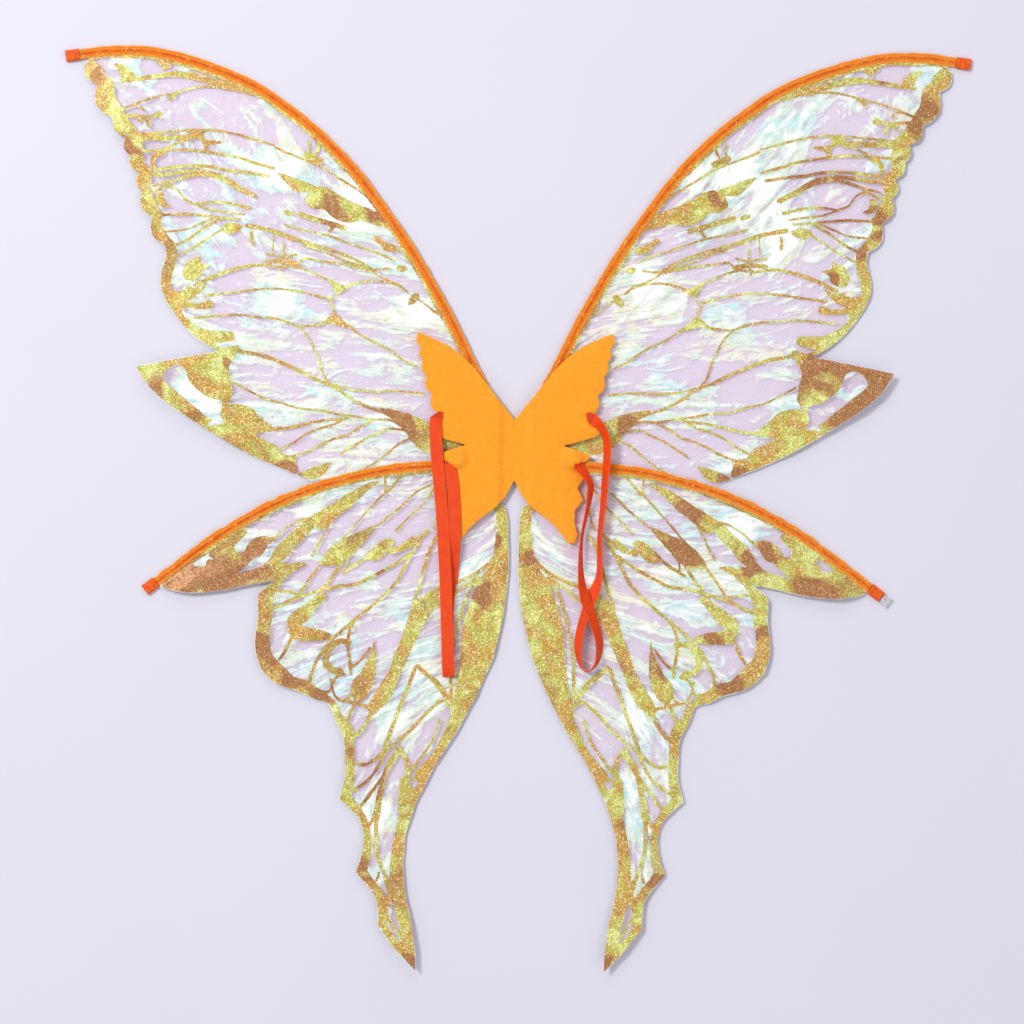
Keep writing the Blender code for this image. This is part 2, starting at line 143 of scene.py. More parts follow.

# The printed pattern. A vein is its width at the start and end and its points. A border gives the
# width at each point. A patch is a filled outline and a window is a hole in one. The points were
# read by eye from enlarged crops of the photo, and another script turned them into millimetres
# and printed these tables. They aren't values chosen by hand in these units.
UPPER_VEINS = [
    (2, 5, [(225, 315), (244, 322), (263, 326)]),
    (5, 7, [(263, 326), (280, 330), (296, 334)]),
    (6, 2.5, [(296, 334), (308, 335), (324, 333), (342, 330), (357, 328)]),
    (2, 2, [(233, 316), (260, 322), (283, 324), (305, 319), (325, 314), (342, 308), (355, 303)]),
    (3, 3, [(322, 298), (333, 296), (349, 297), (363, 297)]),
    (6, 4, [(322, 298), (327, 297)]),
    (3.5, 3.5, [(340, 293), (333, 294), (331, 288)]),
    (2, 2, [(336, 302), (341, 306), (346, 306), (355, 302)]),
    (2, 2, [(131, 224), (144, 233), (159, 242), (175, 252), (191, 259), (207, 265), (218, 270)]),
    (2, 2.5, [(219, 272), (237, 277), (251, 281), (267, 284), (283, 285), (301, 284), (322, 282),
     (341, 280)]),
    (2.5, 2.5, [(293, 276), (303, 274), (315, 268)]),
    (4, 6.5, [(291, 279), (306, 278), (319, 277), (330, 278), (341, 276)]),
    (2.5, 2.5, [(219, 251), (237, 256), (253, 261), (277, 265), (301, 267), (319, 266), (338, 265)]),
    (6, 3, [(319, 265), (325, 261), (328, 256), (325, 249)]),
    (3, 3, [(224, 244), (242, 247), (261, 249), (277, 252), (301, 252), (325, 248)]),
    (3.5, 3.5, [(269, 245), (287, 248), (301, 247), (319, 244), (327, 245)]),
    (4.5, 6, [(236, 226), (250, 233), (261, 240), (271, 244)]),
    (4, 2, [(271, 244), (285, 245), (296, 243), (309, 239), (327, 234)]),
    (2, 2, [(306, 232), (314, 234), (321, 231), (328, 227), (329, 219), (326, 213), (319, 210)]),
    (2, 2, [(312, 235), (305, 231), (298, 222), (290, 219)]),
    (3, 2, [(240, 215), (252, 218), (264, 220), (277, 220), (289, 218)]),
    (2, 2, [(245, 209), (258, 211), (274, 213), (289, 218)]),
    (2.5, 2.5, [(249, 205), (265, 206), (281, 208), (302, 209), (319, 208)]),
    (2, 2, [(274, 205), (286, 200), (298, 195), (315, 193)]),
    (2.5, 2.5, [(268, 204), (281, 197), (294, 187), (307, 181)]),
    (2, 2, [(261, 198), (274, 190), (287, 181), (304, 172)]),
    (2, 4, [(198, 164), (214, 162), (230, 164), (246, 162), (262, 157), (275, 152), (288, 145)]),
    (2, 2, [(197, 174), (207, 172), (225, 174)]),
    (4, 4, [(198, 166), (210, 168), (224, 167)]),
    (1.5, 1.5, [(209, 185), (209, 174)]),
    (1.5, 1.5, [(218, 193), (219, 177)]),
    (2.5, 4, [(202, 187), (213, 193), (229, 197), (242, 199)]),
    (3, 3, [(238, 193), (238, 183)]),
    (2, 2, [(210, 165), (211, 160)]),
    (2.5, 2.5, [(183, 262), (179, 269), (180, 275)]),
    (2.5, 2.5, [(189, 263), (187, 270), (188, 276)]),
    (4.5, 4.5, [(155, 198), (165, 201), (176, 204), (186, 207), (195, 210)]),
    (4, 2, [(164, 200), (170, 192)]),
    (4, 4, [(203, 210), (208, 212)]),
    (2, 2, [(110, 169), (122, 175), (138, 180), (154, 186), (170, 191), (189, 195), (208, 200)]),
    (2, 3.5, [(114, 162), (128, 161), (141, 168), (155, 174), (176, 181), (197, 187), (208, 191),
     (219, 194)]),
    (2, 2, [(104, 147), (112, 150), (122, 154), (131, 160), (141, 164), (160, 171), (176, 178),
     (192, 182)]),
    (2, 2, [(128, 159), (144, 163), (160, 166), (176, 168), (191, 170), (196, 164)]),
    (2, 2, [(98, 141), (106, 147), (128, 151), (148, 147), (160, 139), (166, 132), (165, 128),
     (163, 121)]),
    (2, 2, [(168, 151), (180, 156), (189, 160), (199, 163)]),
    (2, 2, [(64, 119), (72, 123), (80, 129), (88, 135)]),
    (2, 2, [(160, 117), (149, 109), (136, 100), (123, 94), (112, 88), (101, 80), (89, 74)]),
    (3.5, 2, [(163, 120), (173, 112), (184, 110), (194, 109)]),
    (2, 2, [(194, 109), (216, 116), (232, 117), (248, 119), (265, 118), (289, 116)]),
    (2, 2, [(194, 108), (186, 99), (181, 89), (176, 78), (172, 65), (165, 57)]),
    (2, 2, [(166, 133), (176, 136), (192, 140), (216, 143), (240, 141), (256, 139), (279, 136)]),
    (2, 2, [(82, 50), (96, 51), (112, 52), (125, 51), (137, 52), (149, 53), (162, 57)]),
    (2, 3.5, [(92, 17), (103, 25), (113, 30), (125, 35), (137, 39), (151, 47), (162, 55),
     (177, 61), (193, 69), (209, 76), (225, 82), (241, 85), (250, 87)]),
    (2, 2, [(103, 21), (113, 26), (129, 26), (145, 29), (161, 31), (177, 34), (196, 36),
     (209, 40), (225, 44), (239, 51), (252, 58)]),
    (2, 3, [(150, 27), (161, 26), (177, 24), (190, 21), (203, 18), (217, 17)]),
    (2, 2, [(129, 24), (140, 19), (150, 12), (161, 9), (174, 3), (185, -3), (200, -8)]),
    (2, 2, [(151, 27), (164, 21), (177, 17), (188, 12), (198, 5), (209, -1)]),
    (2, 2, [(100, 17), (113, 18), (122, 14), (132, 10), (145, 2), (156, -5)]),
    (2, 2, [(95, 9), (103, 5), (113, -3), (123, -11), (137, -20)]),
    (4, 4, [(250, 90), (257, 88), (266, 85)]),
]  # fmt: skip
UPPER_BORDERS = [
    [(385, 343, 9.5), (380, 335, 16), (371, 323, 15.5), (369, 311, 15.5), (363, 301, 15.5),
     (355, 289, 13.5), (345, 278, 13), (343, 268, 13.5), (341, 257, 13.5), (333, 244, 11),
     (335, 234, 9.5), (332, 223, 11), (326, 208, 12), (324, 197, 10.5), (317, 187, 9.5),
     (311, 178, 11), (310, 169, 9.5), (313, 158, 9.5), (315, 144, 9), (311, 131, 13)],
    [(311, 132, 13), (307, 119, 13), (297, 108, 13), (281, 99, 13.5), (266, 99, 11), (257, 100, 9)],
]  # fmt: skip
UPPER_PATCHES = [
    [(311, 342), (315, 348), (323, 348), (325, 344), (320, 342), (319, 338), (316, 340)],
    [(345, 330), (345, 335), (349, 339), (355, 343), (364, 344), (359, 338), (357, 332),
     (353, 329)],
    [(303, 320), (311, 317), (314, 310), (309, 313)],
    [(282, 285), (293, 284), (291, 278), (283, 274), (281, 266), (278, 266), (277, 271),
     (267, 273), (267, 275), (277, 276), (282, 278)],
    [(317, 228), (323, 227), (324, 221), (320, 216), (314, 215), (310, 216), (315, 219),
     (317, 223)],
    [(247, 199), (257, 202), (265, 198), (262, 193), (255, 192), (249, 195)],
    [(275, 163), (283, 165), (285, 171), (290, 169), (294, 168), (297, 163), (300, 155),
     (294, 149), (284, 152), (281, 159)],
    [(277, 148), (287, 142), (293, 144), (301, 140), (314, 142), (319, 146), (317, 132),
     (311, 119), (301, 121), (297, 125), (282, 124), (272, 126), (274, 132), (285, 129),
     (297, 130), (288, 135), (282, 140)],
    [(250, 87), (266, 84), (297, 80), (341, 72), (333, 55), (318, 41), (304, 31), (282, 18),
     (272, 24), (264, 33), (254, 45), (255, 59), (257, 72)],
    [(217, 18), (228, 27), (238, 36), (251, 39), (264, 37), (265, 30), (261, 21), (273, 19),
     (267, 10), (253, 2), (238, -5), (226, -11), (216, -14), (210, -19), (195, -23), (197, -12),
     (195, -7), (208, -6), (213, 1), (225, 7), (232, 12), (224, 14), (216, 15)],
    [(165, -13), (177, -16), (187, -20), (195, -24), (182, -28), (173, -25), (168, -19)],
    [(160, 120), (154, 113), (149, 108), (160, 110), (168, 112), (181, 108), (168, 116)],
    [(174, 259), (179, 262), (185, 265), (191, 266), (192, 262), (187, 258), (177, 255)],
    [(112, 199), (121, 210), (134, 216), (147, 221), (160, 228), (174, 235), (182, 233),
     (189, 226), (189, 219), (182, 215), (173, 214), (166, 208), (158, 204), (150, 203),
     (137, 204), (121, 199)],
    [(177, 232), (185, 237), (198, 242), (215, 247), (208, 239), (201, 232), (192, 230)],
    [(105, 179), (112, 184), (119, 186), (125, 191), (129, 188), (122, 183), (119, 178),
     (110, 177)],
    [(98, 162), (102, 165), (108, 164), (104, 159)],
    [(146, 147), (157, 147), (167, 152), (172, 153), (166, 147), (164, 142), (160, 140)],
    [(87, 139), (93, 139), (97, 130), (91, 131)],
    [(122, 36), (104, 34), (88, 29), (72, 22), (56, 15), (40, 9), (42, 0), (60, -2), (74, -4),
     (88, 2), (98, 15), (108, 25)],
]  # fmt: skip
UPPER_WINDOWS = [
    [(297, 71), (308, 72), (316, 61), (302, 48), (286, 35), (273, 25), (265, 29), (264, 41),
     (276, 45), (291, 57)],
    [(360, 336), (367, 340), (373, 338), (371, 333), (363, 330)],
    [(331, 261), (335, 262), (336, 257), (332, 251), (329, 254)],
]  # fmt: skip
LOWER_VEINS = [
    (3, 3, [(16, -95), (25, -105), (36, -113), (49, -119), (60, -123), (75, -129), (90, -140)]),
    (3, 3, [(27, -115), (35, -121), (41, -130), (46, -145), (50, -161), (53, -177), (55, -196),
     (55, -217), (54, -235)]),
    (3, 3, [(31, -115), (43, -122), (52, -129), (62, -137), (67, -141)]),
    (4, 4, [(124, -232), (131, -247), (137, -255), (143, -260)]),
    (3.5, 3.5, [(87, -196), (93, -212), (100, -230), (107, -249), (113, -265), (117, -276)]),
    (3, 3, [(68, -77), (75, -90), (80, -106), (85, -125), (90, -140)]),
    (3, 3, [(84, -83), (92, -95), (99, -109), (105, -120), (117, -133), (130, -144), (143, -155),
     (156, -166), (167, -177), (175, -190), (180, -201), (182, -211)]),
    (3, 3, [(94, -95), (107, -104), (117, -110), (130, -117), (142, -122), (157, -124),
     (170, -127), (183, -131), (196, -135), (205, -140), (215, -144)]),
    (4, 4, [(78, -74), (91, -85), (100, -90), (110, -93)]),
    (3, 3, [(131, -97), (141, -104), (154, -112)]),
    (2.5, 2.5, [(170, -100), (178, -111), (184, -119), (192, -130), (204, -129), (216, -128)]),
    (3, 3, [(155, -104), (163, -116), (171, -126)]),
    (2, 2, [(149, -100), (150, -110)]),
    (3, 3, [(198, -169), (204, -182), (209, -190)]),
    (3, 3, [(143, -155), (147, -166), (148, -179), (146, -192), (145, -203)]),
    (5, 7, [(147, -174), (157, -174), (165, -182), (168, -192), (162, -199), (155, -201)]),
    (2.5, 2.5, [(128, -179), (137, -191), (146, -198)]),
    (2.5, 2.5, [(151, -203), (158, -206), (162, -214), (158, -224), (151, -227), (144, -221)]),
    (2.5, 2.5, [(163, -208), (162, -214), (166, -219), (174, -218), (180, -213)]),
    (3, 3, [(123, -237), (129, -232), (142, -229), (150, -226)]),
    (3, 3, [(142, -230), (146, -240), (150, -250)]),
    (3, 3, [(54, -232), (63, -226), (70, -231), (79, -239), (89, -251), (102, -262), (113, -271),
     (123, -279), (131, -284), (142, -283)]),
    (6, 4, [(58, -223), (69, -209), (79, -201), (85, -195)]),
    (2.5, 2.5, [(65, -243), (68, -254), (73, -265), (80, -275), (88, -286), (93, -292)]),
    (4, 4, [(100, -270), (107, -282), (114, -294), (117, -308), (120, -332)]),
    (3, 3, [(113, -271), (118, -282), (126, -295), (135, -303), (145, -309)]),
    (3, 3, [(115, -294), (125, -308), (135, -321)]),
    (2, 2, [(13, -155), (25, -156), (37, -159), (45, -161)]),
    (3.5, 3.5, [(91, -80), (104, -90), (110, -90)]),
    (4.5, 3.5, [(101, -268), (107, -278), (113, -289), (116, -305), (119, -319), (121, -336),
     (121, -354), (119, -367), (115, -378), (111, -389)]),
    (3, 3, [(118, -305), (121, -320), (124, -333), (129, -340)]),
    (2.5, 2.5, [(118, -381), (120, -388)]),
    (4, 5.5, [(99, -272), (95, -279), (93, -288), (95, -301)]),
    (5.5, 5, [(111, -388), (108, -398), (110, -409)]),
    (2.5, 2.5, [(109, -421), (103, -431), (97, -439)]),
    (2, 2, [(113, -37), (123, -47), (133, -58), (143, -69), (152, -80), (160, -87)]),
    (2, 2, [(114, -63), (123, -69), (133, -74)]),
    (2, 2, [(178, -62), (191, -65), (204, -72), (213, -80), (223, -88)]),
    (2.5, 2.5, [(99, -21), (107, -31), (115, -39), (116, -24)]),
    (2, 2, [(167, -70), (175, -86), (181, -97)]),
    (2, 2, [(73, -31), (88, -39), (101, -52), (114, -62)]),
    (2, 2, [(71, -34), (81, -49), (94, -61), (106, -74)]),
    (2, 2, [(65, -36), (68, -55), (72, -71)]),
    (2.5, 2.5, [(204, -104), (220, -106), (232, -110), (248, -115), (262, -121), (271, -124)]),
]  # fmt: skip
LOWER_BORDERS = [
    [(14, -49, 9), (10, -62, 11), (10, -81, 13), (11, -97, 15.5), (15, -113, 21), (20, -129, 29),
     (29, -161, 32), (35, -193, 25.5), (40, -217, 22.5), (49, -241, 13), (65, -273, 10),
     (80, -292, 13)],
    [(72, -133, 13), (82, -145, 17.5), (88, -157, 14.5), (93, -170, 13), (100, -186, 12),
     (106, -202, 10.5), (116, -221, 14.5), (125, -233, 9.5)],
    [(171, -133, 6.5), (181, -142, 9.5), (189, -150, 13), (196, -156, 13), (193, -166, 13),
     (178, -168, 11), (167, -169, 7)],
    [(61, -269, 10.5), (73, -291, 11), (88, -315, 11.5), (97, -337, 10.5), (102, -365, 10.5),
     (103, -384, 10.5), (100, -405, 11.5), (94, -432, 9.5), (91, -453, 11)],
    [(148, -254, 11), (146, -273, 9.5), (146, -287, 9.5), (146, -298, 9.5), (149, -309, 11),
     (146, -319, 11), (139, -326, 9.5), (132, -337, 8.5), (130, -348, 8.5), (130, -362, 9.5),
     (133, -374, 11), (134, -381, 11), (126, -391, 9.5), (118, -400, 8.5), (114, -411, 8.5),
     (115, -425, 9.5), (113, -434, 9.5), (104, -443, 8.5), (96, -454, 12.5), (89, -463, 7)],
    [(212, -121, 7), (219, -128, 11.5), (222, -140, 12), (222, -150, 12), (224, -159, 13),
     (225, -168, 13), (224, -176, 12.5), (222, -186, 11), (216, -194, 11), (208, -202, 11),
     (198, -210, 9), (186, -213, 9), (176, -220, 8.5), (169, -223, 7.5)],
    [(166, -227, 9.5), (160, -239, 9.5), (150, -250, 11), (146, -261, 9), (146, -281, 8),
     (146, -297, 9), (149, -309, 11)],
]  # fmt: skip
LOWER_PATCHES = [
    [(121, -30), (131, -31), (145, -38), (160, -48), (175, -57), (188, -65), (200, -77),
     (210, -86), (217, -97), (204, -97), (193, -86), (184, -77), (178, -70), (176, -74),
     (167, -70), (159, -62), (147, -53), (134, -40)],
    [(123, -69), (133, -72), (144, -77), (154, -82), (162, -87), (170, -96), (173, -102),
     (170, -106), (159, -105), (149, -100), (140, -90), (130, -79)],
    [(190, -79), (201, -79), (208, -86), (214, -94), (220, -101), (225, -107), (216, -106),
     (207, -101), (201, -96), (197, -88)],
    [(185, -104), (194, -103), (202, -105), (216, -107), (232, -111), (248, -115), (262, -120),
     (271, -125), (281, -129), (267, -129), (253, -127), (237, -125), (226, -122), (214, -119),
     (206, -119), (199, -112), (191, -108)],
    [(211, -79), (218, -84), (225, -91), (232, -98), (241, -107), (248, -113), (260, -118),
     (271, -124), (283, -129), (289, -129), (288, -122), (290, -114), (284, -108), (277, -107),
     (275, -101), (269, -101), (274, -97), (265, -90), (260, -82), (255, -79), (246, -79),
     (248, -86), (252, -91), (247, -94), (240, -94), (236, -89), (231, -83), (225, -81),
     (219, -81)],
    [(289, -114), (298, -113), (303, -111), (312, -118), (316, -123), (320, -127), (311, -129),
     (298, -130), (288, -130)],
    [(107, -83), (116, -81), (126, -89), (133, -97), (126, -101), (118, -98), (112, -91)],
    [(124, -170), (126, -179), (130, -189), (137, -202), (143, -208), (145, -218), (140, -228),
     (132, -224), (126, -213), (123, -202), (123, -184)],
    [(77, -288), (84, -291), (91, -297), (93, -301), (99, -295), (101, -306), (101, -326),
     (96, -332), (90, -326), (84, -313)],
    [(91, -438), (100, -443), (106, -443), (100, -453), (85, -469), (84, -453)],
    [(220, -81), (229, -80), (238, -86), (241, -97), (226, -97)],
    [(239, -75), (250, -76), (262, -84), (273, -96), (259, -97), (252, -95), (247, -86)],
]  # fmt: skip
LOWER_WINDOWS = [
    [(84, -299), (88, -297), (91, -301), (89, -305), (85, -303)],
    [(237, -79), (241, -79), (248, -86), (251, -90), (247, -94), (241, -91)],
]  # fmt: skip
PATTERNS = {
    "upper": (UPPER_VEINS, UPPER_BORDERS, UPPER_PATCHES, UPPER_WINDOWS),
    "lower": (LOWER_VEINS, LOWER_BORDERS, LOWER_PATCHES, LOWER_WINDOWS),
}

# Where the glitter turns copper brown, partly its own brown and partly painted shade, and where the
# film has painted white flares, painted highlights: X, Y and reach.
COPPER_AND_SHADE_SPOTS = {
    ("upper", "left"): [(100, 22, 26), (350, 318, 10), (168, 214, 16), (128, 212, 18), (344, 268, 14),
                        (287, 30, 14), (318, 50, 16), (258, 72, 12), (205, -22, 16), (234, 45, 8),
                        (310, 208, 9), (372, 326, 8)],
    ("upper", "right"): [(322, 66, 36), (300, 40, 30), (270, 66, 26), (196, -24, 20), (95, 18, 16),
                         (366, 312, 14), (352, 297, 12), (334, 336, 12), (322, 236, 12),
                         (296, 218, 34), (262, 248, 20), (330, 192, 14), (305, 176, 16),
                         (318, 214, 14), (180, 226, 12), (285, 160, 12), (345, 268, 10),
                         (288, 62, 30), (258, 52, 20)],
    ("lower", "left"): [(300, -112, 40), (262, -112, 30), (232, -104, 26), (205, -206, 22),
                        (168, -226, 14), (92, -462, 14), (136, -372, 16), (26, -135, 14),
                        (128, -300, 20), (120, -112, 12), (222, -176, 14), (20, -84, 12)],
    ("lower", "right"): [(266, -120, 24), (215, -92, 22), (160, -60, 22), (200, -208, 26),
                         (150, -92, 24), (138, -196, 16), (176, -165, 14), (88, -464, 12),
                         (136, -380, 12), (18, -100, 10), (225, -160, 10)],
}  # fmt: skip
PAINTED_FLARE_SPOTS = {
    ("upper", "left"): [(150, 215, 40), (215, 250, 30), (95, 120, 28), (215, 135, 30),
                        (284, 50, 34)],
    ("upper", "right"): [(205, 228, 48), (170, 250, 34), (240, 190, 34), (120, 150, 26)],
    ("lower", "left"): [(110, -245, 26), (60, -140, 22), (180, -60, 24), (120, -330, 22)],
    ("lower", "right"): [(115, -235, 26), (75, -115, 22), (200, -70, 24), (112, -300, 24)],
}


# ---------------------------------------------------------------- numbers over the plane


def smooth(value, start, end):
    """0 before start, 1 after end, and a smooth step between them."""
    t = np.clip((value - start) / (end - start), 0.0, 1.0)
    return t * t * (3 - 2 * t)


class Noise:
    """Smooth random value over the plane, from -1 to 1, the same in each run for a seed."""

    SIZE = 64

    def __init__(self, seed):
        self.table = np.random.RandomState(seed).uniform(-1, 1, (self.SIZE, self.SIZE))

    def __call__(self, u, v):
        u, v = np.asarray(u, float), np.asarray(v, float)
        column, line = np.floor(u).astype(int), np.floor(v).astype(int)
        s, t = u - column, v - line
        s, t = s * s * (3 - 2 * s), t * t * (3 - 2 * t)
        size = self.SIZE
        low = self.table[column % size, line % size] * (1 - s)
        low = low + self.table[(column + 1) % size, line % size] * s
        high = self.table[column % size, (line + 1) % size] * (1 - s)
        high = high + self.table[(column + 1) % size, (line + 1) % size] * s
        return low * (1 - t) + high * t


def curve_through(points, steps, closed=False):
    """Catmull-Rom curve through points of any dimension, as an array."""
    knots = np.array(points, float)
    if closed:
        knots = np.vstack([knots[-1:], knots, knots[:2]])
    else:
        knots = np.vstack([2 * knots[0] - knots[1], knots, 2 * knots[-1] - knots[-2]])
    t = (np.arange(steps) / steps)[:, None]
    curve = []
    for a, b, c, d in zip(knots, knots[1:], knots[2:], knots[3:]):
        bend = (2 * a - 5 * b + 4 * c - d) * t**2 + (3 * b - 3 * c + d - a) * t**3
        curve.append(0.5 * (2 * b + (c - a) * t + bend))
    return np.vstack(curve if closed else curve + [knots[-2:-1]])


def spaced(curve, step):
    """The same curve with points at an even distance, by its first two or three columns."""
    room = min(curve.shape[1], 3)
    along = np.linalg.norm(np.diff(curve[:, :room], axis=0), axis=1)
    along = np.concatenate([[0], np.cumsum(along)])
    wanted = np.linspace(0, along[-1], max(2, round(along[-1] / step) + 1))
    return np.stack([np.interp(wanted, along, column) for column in curve.T], axis=1), wanted


def distance_to_line(x, y, line):
    """Distance from each point to an open line, and the line's third column at the nearest point."""
    best, third = np.full(x.shape, 1e9), np.zeros(x.shape)
    for a, b in zip(line, line[1:]):
        way = b - a
        t = ((x - a[0]) * way[0] + (y - a[1]) * way[1]) / max(way[0] ** 2 + way[1] ** 2, 1e-9)
        t = np.clip(t, 0, 1)
        gap = np.hypot(x - a[0] - way[0] * t, y - a[1] - way[1] * t)
        nearer = gap < best
        best = np.where(nearer, gap, best)
        third = np.where(nearer, a[2] + way[2] * t, third)
    return best, third


def distance_inside(x, y, outline):
    """Signed distance to a closed outline, negative inside it."""
    best, crossings = np.full(x.shape, 1e9), np.zeros(x.shape, int)
    for a, b in zip(outline, np.roll(outline, -1, axis=0)):
        way = b - a
        t = ((x - a[0]) * way[0] + (y - a[1]) * way[1]) / max(way @ way, 1e-9)
        t = np.clip(t, 0, 1)
        best = np.minimum(best, np.hypot(x - a[0] - way[0] * t, y - a[1] - way[1] * t))
        spans = (a[1] > y) != (b[1] > y)
        rise = way[1] if abs(way[1]) > 1e-9 else 1e-9
        crossings += spans & (x < a[0] + way[0] * (y - a[1]) / rise)
    return np.where(crossings % 2 == 1, -best, best)


class Grid:
    """A field of values over a rectangle of the plane, below zero where there is material."""

    def __init__(self, low, high, step):
        self.low, self.step = np.array(low, float), step
        self.count = np.ceil((np.array(high) - low) / step).astype(int) + 1
        self.x = (low[0] + step * np.arange(self.count[0]))[:, None] * np.ones(self.count[1])
        self.y = (low[1] + step * np.arange(self.count[1])) * np.ones((self.count[0], 1))
        self.field = np.full(self.x.shape, 1e3)

    def window(self, points, reach):
        """The part of the grid within reach of some points."""
        start = np.floor((points.min(0)[:2] - reach - self.low) / self.step).astype(int)
        end = np.ceil((points.max(0)[:2] + reach - self.low) / self.step).astype(int) + 1
        start, end = np.maximum(start, 0), np.maximum(end, 0)
        return slice(start[0], end[0]), slice(start[1], end[1])

    def add_stroke(self, stroke):
        """A line of X, Y and radius, rounded at its ends."""
        for a, b in zip(stroke, stroke[1:]):
            part = self.window(np.array([a, b]), max(a[2], b[2]) + 3 * self.step)
            gap, radius = distance_to_line(self.x[part], self.y[part], [a, b])
            self.field[part] = np.minimum(self.field[part], gap - radius)

    def add_patch(self, outline):
        """Fills a closed outline."""
        part = self.window(outline, 3 * self.step)
        inside = distance_inside(self.x[part], self.y[part], outline)
        self.field[part] = np.minimum(self.field[part], inside)

    def cut_window(self, outline):
        """Empties a closed outline."""
        part = self.window(outline, 3 * self.step)
        inside = distance_inside(self.x[part], self.y[part], outline)
        self.field[part] = np.maximum(self.field[part], -inside)

    def triangles(self):
        """Plan points and triangles of the area below zero, cut cleanly along the zero line."""
        wide, deep = self.count
        index = np.arange(wide * deep).reshape(wide, deep)
        a, b = index[:-1, :-1].ravel(), index[1:, :-1].ravel()
        c, d = index[1:, 1:].ravel(), index[:-1, 1:].ravel()
        cells = np.concatenate([np.stack([a, b, c], 1), np.stack([a, c, d], 1)])
        value = self.field.ravel()
        below = value[cells] < 0
        count = below.sum(1)

        def rolled(rows, first):
            order = (first[:, None] + np.arange(3)) % 3
            return np.take_along_axis(rows, order, axis=1)

        one = rolled(cells[count == 1], below[count == 1].argmax(1))
        two = rolled(cells[count == 2], below[count == 2].argmin(1))
        edges = np.concatenate([one[:, [0, 1]], one[:, [0, 2]], two[:, [0, 1]], two[:, [0, 2]]])
        edges, place = np.unique(np.sort(edges, axis=1), axis=0, return_inverse=True)
        place = place.ravel() + wide * deep
        n, m = len(one), len(two)
        one_b, one_c = place[:n], place[n : 2 * n]
        two_b, two_c = place[2 * n : 2 * n + m], place[2 * n + m :]
        faces = np.concatenate([
            cells[count == 3],
            np.stack([one[:, 0], one_b, one_c], 1),
            np.stack([two_b, two[:, 1], two[:, 2]], 1),
            np.stack([two_b, two[:, 2], two_c], 1),
        ])  # fmt: skip
        plan = np.stack([self.x.ravel(), self.y.ravel()], 1)
        start, end = value[edges[:, 0]], value[edges[:, 1]]
        share = np.clip(start / (start - end), 0.02, 0.98)[:, None]
        cuts = plan[edges[:, 0]] * (1 - share) + plan[edges[:, 1]] * share
        plan = np.concatenate([plan, cuts])
        used, faces = np.unique(faces, return_inverse=True)
        return plan[used], faces.reshape(-1, 3)


# ---------------------------------------------------------------- meshes


def make_mesh(name, points, faces, material, attributes=()):
    """A smooth-shaded object from points in the row frame, in metres."""
    mesh = bpy.data.meshes.new(name)
    mesh.from_pydata(np.asarray(points, float).tolist(), [], [list(map(int, f)) for f in faces])
    for attribute, kind, values in attributes:
        data = mesh.attributes.new(attribute, kind, "POINT").data
        key = "vector" if kind == "FLOAT_VECTOR" else "value"
        data.foreach_set(key, np.asarray(values, np.float32).ravel())
    mesh.materials.append(material)
    mesh.shade_smooth()
    item = bpy.data.objects.new(name, mesh)
    bpy.context.scene.collection.objects.link(item)
    return item


def to_row(x, y, z, side):
    """Millimetres from the crease, as metres in the row frame."""
    return np.stack([x * side, y + CREASE_Y, z], axis=-1) * MM


def facing_up(faces, side):
    """Triangles that face up again after the mirror."""
    return faces if side > 0 else faces[:, ::-1]


def slab(plan, faces, half):
    """Closes a sheet of triangles into a slab: its rows of points and faces, top points first."""
    count = len(plan)
    sides = np.concatenate([faces[:, [0, 1]], faces[:, [1, 2]], faces[:, [2, 0]]])
    keys = sides.min(1).astype(np.int64) * count + sides.max(1)
    _, first, seen = np.unique(keys, return_index=True, return_counts=True)
    rim = sides[first[seen == 1]]
    walls = np.concatenate([
        np.stack([rim[:, 1], rim[:, 0], rim[:, 0] + count], 1),
        np.stack([rim[:, 1], rim[:, 0] + count, rim[:, 1] + count], 1),
    ])  # fmt: skip
    return np.concatenate([faces, faces[:, ::-1] + count, walls]), np.concatenate([half, -half])


def ring_faces(rings, count, caps=True):
    """Faces between rings of points, with closed ends."""
    faces = []
    for k in range(rings - 1):
        for i in range(count):
            j = (i + 1) % count
            faces.append((k * count + i, (k + 1) * count + i, (k + 1) * count + j, k * count + j))
    if caps:
        faces.append(tuple(range(count)))
        faces.append(tuple(reversed(range((rings - 1) * count, rings * count))))
    return faces


def outline_of(node):
    """Plan outline of a CAD sheet's upper face, in millimetres from the crease, on the +X side."""
    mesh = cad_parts[node].data
    places = {}
    for vertex in mesh.vertices:
        places.setdefault(tuple(round(c, 6) for c in vertex.co), len(places))
    number = [places[tuple(round(c, 6) for c in vertex.co)] for vertex in mesh.vertices]
    where = {}
    for vertex in mesh.vertices:
        where[number[vertex.index]] = (abs(vertex.co.x) / MM, vertex.co.y / MM - CREASE_Y)
    seen = {}
    for face in mesh.polygons:
        if face.normal.z < 0.5:
            continue
        corners = [number[v] for v in face.vertices]
        for a, b in zip(corners, corners[1:] + corners[:1]):
            seen.setdefault(frozenset((a, b)), []).append((a, b))
    following = {pairs[0][0]: pairs[0][1] for pairs in seen.values() if len(pairs) == 1}
    start = point = next(iter(following))
    outline = []
    while not outline or point != start:
        outline.append(where[point])
        point = following[point]
    return np.array(outline)


def unit(vectors):
    """Rows of vectors, each at length 1."""
    return vectors / np.linalg.norm(vectors, axis=-1, keepdims=True)


def both_ways(along, across):
    """Columns and rows of equal shape, for a noise over the rings of a swept piece."""
    return along[:, None] + 0 * across, across + 0 * along[:, None]


def wing_body(layer, side_name):
    """The CAD body that a wing's pieces ride on."""
    return f"{side_name}_wing" if layer == "upper" else f"{side_name}_lower_wing"


